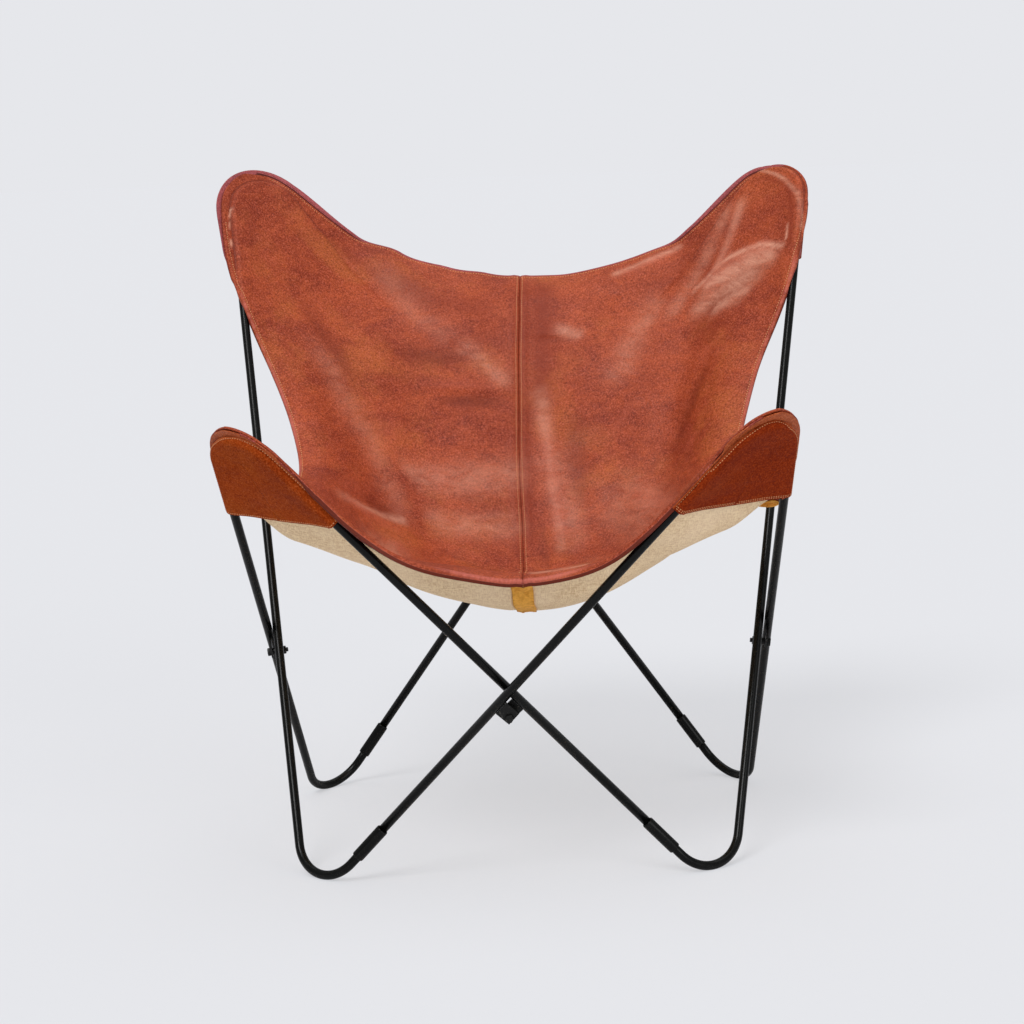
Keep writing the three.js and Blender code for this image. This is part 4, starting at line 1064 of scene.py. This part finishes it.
# %% Pocket shapes
MOUTHS = {  # how far up the mouth is cut, how much higher at the side leg, and how far it sags, in millimetres
    "front_left": (2.6, 14.0, 3.5), "front_right": (7.0, 6.0, 1.5), "back_left": (2.0, 6.0, 2.0),
    "back_right": (14.0, 14.0, 2.0)}
STATIONS = 200


def rim_width(name, angle, leg):
    """Leather outside the rod's centre line, from the outline's own shares. leg is how far down a leg as a share of
    the pocket's length, 0 on the arc."""
    place, side = name.split("_")
    shares = OUTLINE[side]
    arc = sorted(shares[place + "_arc"])
    ends = {"leg": arc[0][1], "cross": arc[-1][1]}
    on_leg = {kind: np.interp(leg, *zip((0, end), *sorted(shares.get(f"{place}_{kind}", []))))
              for kind, end in ends.items()}
    on_rod = np.where(angle < 0, on_leg["leg"], on_leg["cross"])
    return np.where(leg <= 0, np.interp(angle, *zip(*arc)), on_rod) * RIM[place]


def pocket_stations(name):
    """Stations round a bend from mouth to mouth, in the bend's plane: points on the rod's centre line, the outward
    direction, partners on the bend's middle axis, how low each lies, and the rim's width there."""
    tip = TIPS[name]
    raised, tilt, _ = MOUTHS[name]
    length = POCKET[name.split("_")[0]]
    mouth = BEND - length + raised
    reach = np.pi / 2 - tip["half"]
    legs = [(BEND * np.sin(tip["half"]) - bottom) / np.cos(tip["half"])
            for bottom in (mouth + tilt / 2, mouth - tilt / 2)]
    at = np.linspace(0, legs[0] + 2 * reach * BEND + legs[1], STATIONS)
    angle = np.clip((at - legs[0]) / BEND - reach, -reach, reach)
    down = np.maximum(np.maximum(0, legs[0] - at), at - legs[0] - 2 * reach * BEND)
    way = np.where(angle < 0, -1.0, 1.0)
    out = np.column_stack([np.sin(angle), np.cos(angle)])
    line = BEND * out + np.column_stack([way * down * np.sin(tip["half"]), -down * np.cos(tip["half"])])
    low = smooth((mouth + 70 - line[:, 1]) / 70)
    spine = np.column_stack([np.zeros(STATIONS), np.minimum(line[:, 1] + way * tilt / 2 * low, BEND * 0.4)])
    return line, out, spine, low, rim_width(name, angle, down / length)


def in_bend(tip, plane, height):
    """Points from places in a bend's plane and heights above it."""
    return (tip["centre"] + plane[..., :1] * tip["across"] + plane[..., 1:] * tip["up"]
            + height[..., None] * tip["inward"])


BAND_WRAP = ROD + 0.95  # radius of the band's middle layer round the rod
BAND_DROP = 1.2  # from the canvas down to the band's middle layer
BAND_LEVEL = PANEL_LEVEL - LEATHER / 2 - FIT - CANVAS - BAND_DROP - STEP  # the band's height under the panel's rim


def band_points(name, over):
    """The band's middle layer: out over the panel's underside to the rim, round the rod, and in below the plate."""
    line, out, _, _, rim = pocket_stations(name)
    rise = np.linspace(0, 1, 20)[None, :, None]
    rim = np.maximum(rim + over, BAND_WRAP + 0.6)[:, None, None]
    shoulder = np.concatenate(np.broadcast_arrays(BAND_WRAP + (rim - BAND_WRAP) * (1 - rise) ** 1.3,
                                                  BAND_LEVEL * (1 - rise ** 1.3)), -1)
    turn = np.linspace(0, 1, 16)[1:] * np.pi / 2
    wrap = np.column_stack([BAND_WRAP * np.cos(turn), -BAND_WRAP * np.sin(turn)])
    inward = np.column_stack([np.linspace(-1.0, -9.0, 7), np.full(7, -BAND_WRAP)])
    below = np.vstack([wrap, inward])
    profile = np.concatenate([shoulder, np.broadcast_to(below, (STATIONS, *below.shape))], 1)
    return in_bend(TIPS[name], line[:, None] + profile[..., :1] * out[:, None], profile[..., 1])


CROWDED = 1.5  # the power that crowds the plate's steps towards its edge
PLATE_STEPS = np.linspace(0, 1, 64) ** CROWDED
WRAP = ROD + 2.45  # radius of the plate's middle layer round the rod
ROUND = 1.33  # the angle at which it leaves the rod


def plate_points(name, reach):
    """The plate's middle layer, from its edge to the bend's middle axis. reach is the length from below the rod to
    the edge: on the rod it is a circle, x = R sin(a), height = -R cos(a) with a = length / R, outside it the plate
    lies flat under the rim, and inside it is flat and sinks a little between the legs."""
    line, out, spine, low, _ = pocket_stations(name)
    _, _, sag = MOUTHS[name]
    far = np.linalg.norm(spine - line, axis=1)
    length = reach[:, None] - PLATE_STEPS[None] * (reach + far)[:, None]
    angle = np.clip(length / WRAP, 0, ROUND)
    outside = WRAP * np.sin(angle) + np.maximum(length - WRAP * ROUND, 0)
    inside = np.maximum(-length, 0)
    inward = (spine - line)[:, None] * (inside / far[:, None])[..., None]
    plane = line[:, None] + out[:, None] * outside[..., None] + inward
    plane[..., 1] -= low[:, None] ** 2 * sag * np.sin(np.pi * PLATE_STEPS / 2)[None]
    return in_bend(TIPS[name], plane, 2.6 * smooth(inside / 45) - WRAP * np.cos(angle))


def facing_out(points, tip):
    """A grid and its normals, turned so that they point away from the sitter."""
    normals = grid_normals(points)
    if (normals[len(points) // 2, -3] * tip["inward"]).sum() > 0:
        points = points[::-1]
        normals = grid_normals(points)
    return points, normals


def band_map(points, pink, dark):
    """The leather's UV map of a band: a pink painted highlight at its outer edge, and painted shadow beside the
    panel's rim.
    """
    from_rim = edge_distance(points)
    return {"run": both_layers(pink * smooth((from_rim - 4.4) / 1.6) + dark * (1 - smooth((from_rim - 3.0) / 1.4)))}


# %% Pockets
# how far a band stands out from the panel's rim, and how far a plate reaches up from below the rod, in millimetres,
# at stations from the side leg's mouth round the bend to the crossing leg's mouth
OVER = {"back_left": ((0, -2), (25, 3), (60, 6), (110, 6.5), (150, 6), (199, 4)),
        "back_right": ((0, -3), (25, -2), (60, -1), (85, 1), (105, 4.5), (150, 5), (199, 4)),
        "front_left": ((0, -1),), "front_right": ((0, -1),)}
REACH = {"front_left": ((0, 8.2), (83, 8.2), (95, 11), (109, 14), (120, 16), (129, 17.2), (145, 18), (158, 18.6),
                        (179, 18.6), (199, 17)),
         "front_right": ((0, 6.5), (84, 6.5), (91, 11), (100, 14), (108, 12.6), (119, 10.6), (137, 9.8), (158, 10.9),
                         (159.5, 14.6), (199, 14.8)),
         "back_left": ((0, 7.4),), "back_right": ((0, 7.4),)}
SKIN = (-POCKET_SKIN / 2, POCKET_SKIN / 2)
PLATES = {}
for name, tip in TIPS.items():
    place, side = name.split("_")
    over, reach = (np.interp(np.arange(STATIONS), *zip(*table[name])) for table in (OVER, REACH))
    points, normals = facing_out(band_points(name, over), tip)
    # How strong each band's painted highlight and painted shadow are.
    finish, shades = (EDGE_LEATHER, (0.45, CUT_EDGE_AND_SHADE)) if place == "back" else (BAND_LEATHER, (0.06, 1.42))
    make_sheet("band_" + name, points, normals, SKIN, finish, "pocket_" + name,
               band_map(points, *shades), [f"rod_{name}_bent"])
    points, normals = PLATES[name] = facing_out(plate_points(name, reach), tip)
    # A pale painted highlight along the plate's edge.
    from_edge = np.linalg.norm(points - points[:, :1], axis=-1)
    make_sheet("plate_" + name, points, normals, SKIN, ROUGH_LEATHERS[side], "pocket_" + name,
               {"run": both_layers(np.clip(1 - from_edge / 2.5, 0, 1))}, ["band_" + name])

# %% [markdown]
# ## Stitches
# Every seam is sewn with a thick waxed thread. One stitch is a short bead with a few faces, and each row of
# stitches is laid along a line on the leather, half sunk into it.

# %% Stitches
BEAD_RINGS, BEAD_SIDES = np.array([[-1.0, 0.35], [-0.62, 1.0], [0.62, 1.0], [1.0, 0.35]]), 6
STITCH, THREAD, SUNK = 3.9, 0.62, 0.12  # from one stitch to the next, a stitch's radius, and how far it is sunk


def sew(lines):
    """Points and faces of the stitches along lines of (points, normals). Each bead is a six-sided barrel of length
    0.54 * STITCH, with its long axis along the line."""
    places, alongs, ups = [], [], []
    for points, normals in lines:
        run = lengths_along(points)
        at = np.arange(STITCH, run[-1] - STITCH / 2, STITCH)
        for found, rows in ((places, points), (ups, normals), (alongs, np.gradient(points, axis=0))):
            found.append(read_between(at, run, rows))
    place, along, above = np.vstack(places), unit(np.vstack(alongs)), unit(np.vstack(ups))
    aside = unit(np.cross(along, above))
    above = np.cross(aside, along)
    angle = 2 * np.pi * np.arange(BEAD_SIDES) / BEAD_SIDES
    length = BEAD_RINGS[:, None, 0] * STITCH * 0.27 * np.ones(BEAD_SIDES)
    off, high = (BEAD_RINGS[:, 1:] * trig(angle) * THREAD for trig in (np.cos, np.sin))
    bead = np.stack([length, off, high - SUNK], -1).reshape(-1, 3)
    points = place[:, None] + np.einsum("pk,nkc->npc", bead, np.stack([along, aside, above], 1))
    rings = len(BEAD_RINGS)
    faces = grid_faces(rings, BEAD_SIDES, close_columns=True)
    ends = np.array([[0, 1, 2, 3], [0, 3, 4, 5]])
    faces = np.vstack([faces[:, ::-1], ends, (ends + (rings - 1) * BEAD_SIDES)[:, ::-1]])
    each = np.arange(len(place))[:, None, None] * rings * BEAD_SIDES
    return points.reshape(-1, 3), (faces[None] + each).reshape(-1, 4)


PROUD = 0.05  # how far a line of stitches lies above the leather


def on_leather(u, v):
    """A line on the panels' upper side."""
    points, normals = cloth(u, v)
    return points + normals * (LEATHER / 2 + PROUD), normals


def on_grid(grid, i, j):
    """Places between the points of a grid, at row i and column j."""
    i, j = np.broadcast_arrays(np.clip(i, 0, grid.shape[0] - 1.001), np.clip(j, 0, grid.shape[1] - 1.001))
    a, b = i.astype(int), j.astype(int)
    s, t = (i - a)[..., None], (j - b)[..., None]
    return ((1 - s) * (1 - t) * grid[a, b] + s * (1 - t) * grid[a + 1, b] + (1 - s) * t * grid[a, b + 1]
            + s * t * grid[a + 1, b + 1])


SEAM_ROW, EDGE_ROW, UPPER_ROW, PLATE_ROW = 3.9, 6.5, 3.2, 2.2  # distances of the rows from their edges
MOUTH_ROWS = {name: (2.6, 5.2) if name == "front_right" else (2.6,) for name in TIPS}
down, free = np.linspace(0.004, 0.972, 900), np.linspace(0.105, 0.80, 600)
across = np.linspace(0.06, 0.94, 900)
seam_rows = [on_leather(seam_share(down) + way * SEAM_ROW / row_width(down), down) for way in (-1, 1)]
edge_rows = [on_leather(EDGE_ROW / row_width(free), free), on_leather(1 - EDGE_ROW / row_width(free), free),
             on_leather(across, below_top(across, upper_inset(across) + UPPER_ROW))]
pocket_rows = []
for name, (points, normals) in PLATES.items():
    surface = points + normals * (POCKET_SKIN / 2 + PROUD)
    across_plate = np.linalg.norm(points[:, -1] - points[:, 0], axis=-1)
    gap = np.linalg.norm(points[1, 20] - points[0, 20])
    places = [(np.arange(STATIONS), (len(PLATE_STEPS) - 1) * (PLATE_ROW / across_plate) ** (1 / CROWDED))]
    places += [(row, np.linspace(3, len(PLATE_STEPS) - 1, 120)) for inset in MOUTH_ROWS[name]
               for row in (inset / gap, STATIONS - 1 - inset / gap)]
    pocket_rows += [(on_grid(surface, i, j), on_grid(normals, i, j)) for i, j in places]
for name, rows in (("seam", seam_rows), ("edges", edge_rows), ("pockets", pocket_rows)):
    points, faces = sew(rows)
    make_piece("stitches_" + name, points, faces, THREAD_FINISH)
    print(f"stitches_{name}: {len(points) // (len(BEAD_RINGS) * BEAD_SIDES)} stitches")

# %% [markdown]
# ## Sleeves and crossing brackets
# The rods are joined beside each foot by a sleeve, a short tube with softened ends. At each crossing two welded
# tabs take one bolt. The tabs and the bolts keep the solids' shapes, with their sharp edges bevelled.

# %% Sleeves
SLEEVE = np.array([(-26, 6.05), (-26, 7.0), (-25.7, 7.5), (-25, 7.9), (-24, 8.0), (24, 8.0), (25, 7.9), (25.7, 7.5),
                   (26, 7.0), (26, 6.05)])  # lengths from the middle, and radii
for foot in (name for name in LEGS if name.startswith("foot")):
    along = BENDS[foot]["cross"][None]
    points = carry(SLEEVE[:, 1:, None] * circle(32, 1.0), sleeve_place(foot) + SLEEVE[:, :1] * along, along)
    name = foot.replace("foot", "sleeve")
    make_piece(name + "_rounded", points.reshape(-1, 3), grid_faces(len(SLEEVE), 32, True, True), BLACK_COAT,
               [name])
print("sleeves: 4")

# %% Tabs, bolts, nuts and spacers
def bevelled(node, width):
    """A copy of a solid with its doubles merged, its flat faces joined and its edges bevelled."""
    mesh = bpy.data.objects[node].data.copy()
    work = bmesh.new()
    work.from_mesh(mesh)
    bmesh.ops.remove_doubles(work, verts=work.verts, dist=1e-5)
    bmesh.ops.dissolve_limit(work, angle_limit=0.02, verts=work.verts, edges=work.edges)
    work.to_mesh(mesh)
    work.free()
    mesh.materials.clear()
    mesh.materials.append(BLACK_HARDWARE)
    piece = put(node + "_bevelled", mesh)
    bevel = piece.modifiers.new("bevel", "BEVEL")
    bevel.width, bevel.segments, bevel.limit_method, bevel.angle_limit = width / 1000, 2, "ANGLE", 0.6
    bevel.harden_normals = False
    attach(piece, "root")
    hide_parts(node)


for place in ("front", "back", "left", "right"):
    for node, width in (("tab_outer_", 0.7), ("tab_inner_", 0.7), ("bolt_", 0.45), ("nut_", 0.45), ("spacer_", 0.4)):
        bevelled(node + place, width)
print("brackets: 4")

# %% [markdown]
# ## Light, floor and backdrop
# The chair stands on a plain pale floor in soft light from large lamps far away. Lamps that far away light the
# floor evenly, so the backdrop can have the floor's own brightness and no horizon shows. To the camera the floor
# also glows a little, which keeps the shadow faint.

# %% Stage
PALE = (0.791, 0.799, 0.831)  # the backdrop
GLOW = 0.62  # how much of the floor's brightness is its own, to the camera
SIZE = 60  # half the floor's width, in metres
paint = Paint("floor")
mesh = bpy.data.meshes.new("floor")
mesh.from_pydata([(-SIZE, -SIZE, 0), (SIZE, -SIZE, 0), (SIZE, SIZE, 0), (-SIZE, SIZE, 0)], [], [(0, 1, 2, 3)])
mesh.materials.append(paint.set(Base_Color=(0.725, 0.732, 0.762), Roughness=1.0, Specular_IOR_Level=0.0))
camera_ray = paint.node("ShaderNodeLightPath", {}, {}, "Is Camera Ray")
glow = paint.node("ShaderNodeEmission", {}, {"Color": PALE})
both = paint.node("ShaderNodeMixShader", {}, {0: camera_ray * GLOW, 1: paint.shader, 2: glow})
paint.feed(paint.out.inputs["Surface"], both)
floor = put("floor", mesh)

world = bpy.context.scene.world = bpy.data.worlds.new("studio")
sky = Nodes(world)
seen = sky.node("ShaderNodeLightPath", {}, {}, "Is Camera Ray")
shade = sky.node("ShaderNodeBackground", {}, {"Color": (0.985, 0.99, 1.0), "Strength": 0.42})
backdrop = sky.node("ShaderNodeBackground", {}, {"Color": PALE, "Strength": 1.0})
sky.node("ShaderNodeOutputWorld", {}, {
    "Surface": sky.node("ShaderNodeMixShader", {}, {0: seen, 1: shade, 2: backdrop})})


def lamp(name, direction, spread_degrees, strength):
    """A distant lamp: light that comes from one direction, softened over an angle."""
    light = bpy.data.lights.new(name, "SUN")
    light.angle, light.energy = np.radians(spread_degrees), strength
    put(name, light).rotation_euler = (-Vector(direction)).to_track_quat("-Z", "Y").to_euler()


lamp("key", (-0.35, -0.75, 1.0), 24, 1.5)
lamp("fill", (0.75, -0.85, 0.45), 35, 0.68)
lamp("top", (0.1, 0.1, 1.0), 60, 0.75)
bpy.context.scene.view_settings.view_transform = "Standard"
print("stage made")

# %% [markdown]
# ## End

# %% End
print("done")
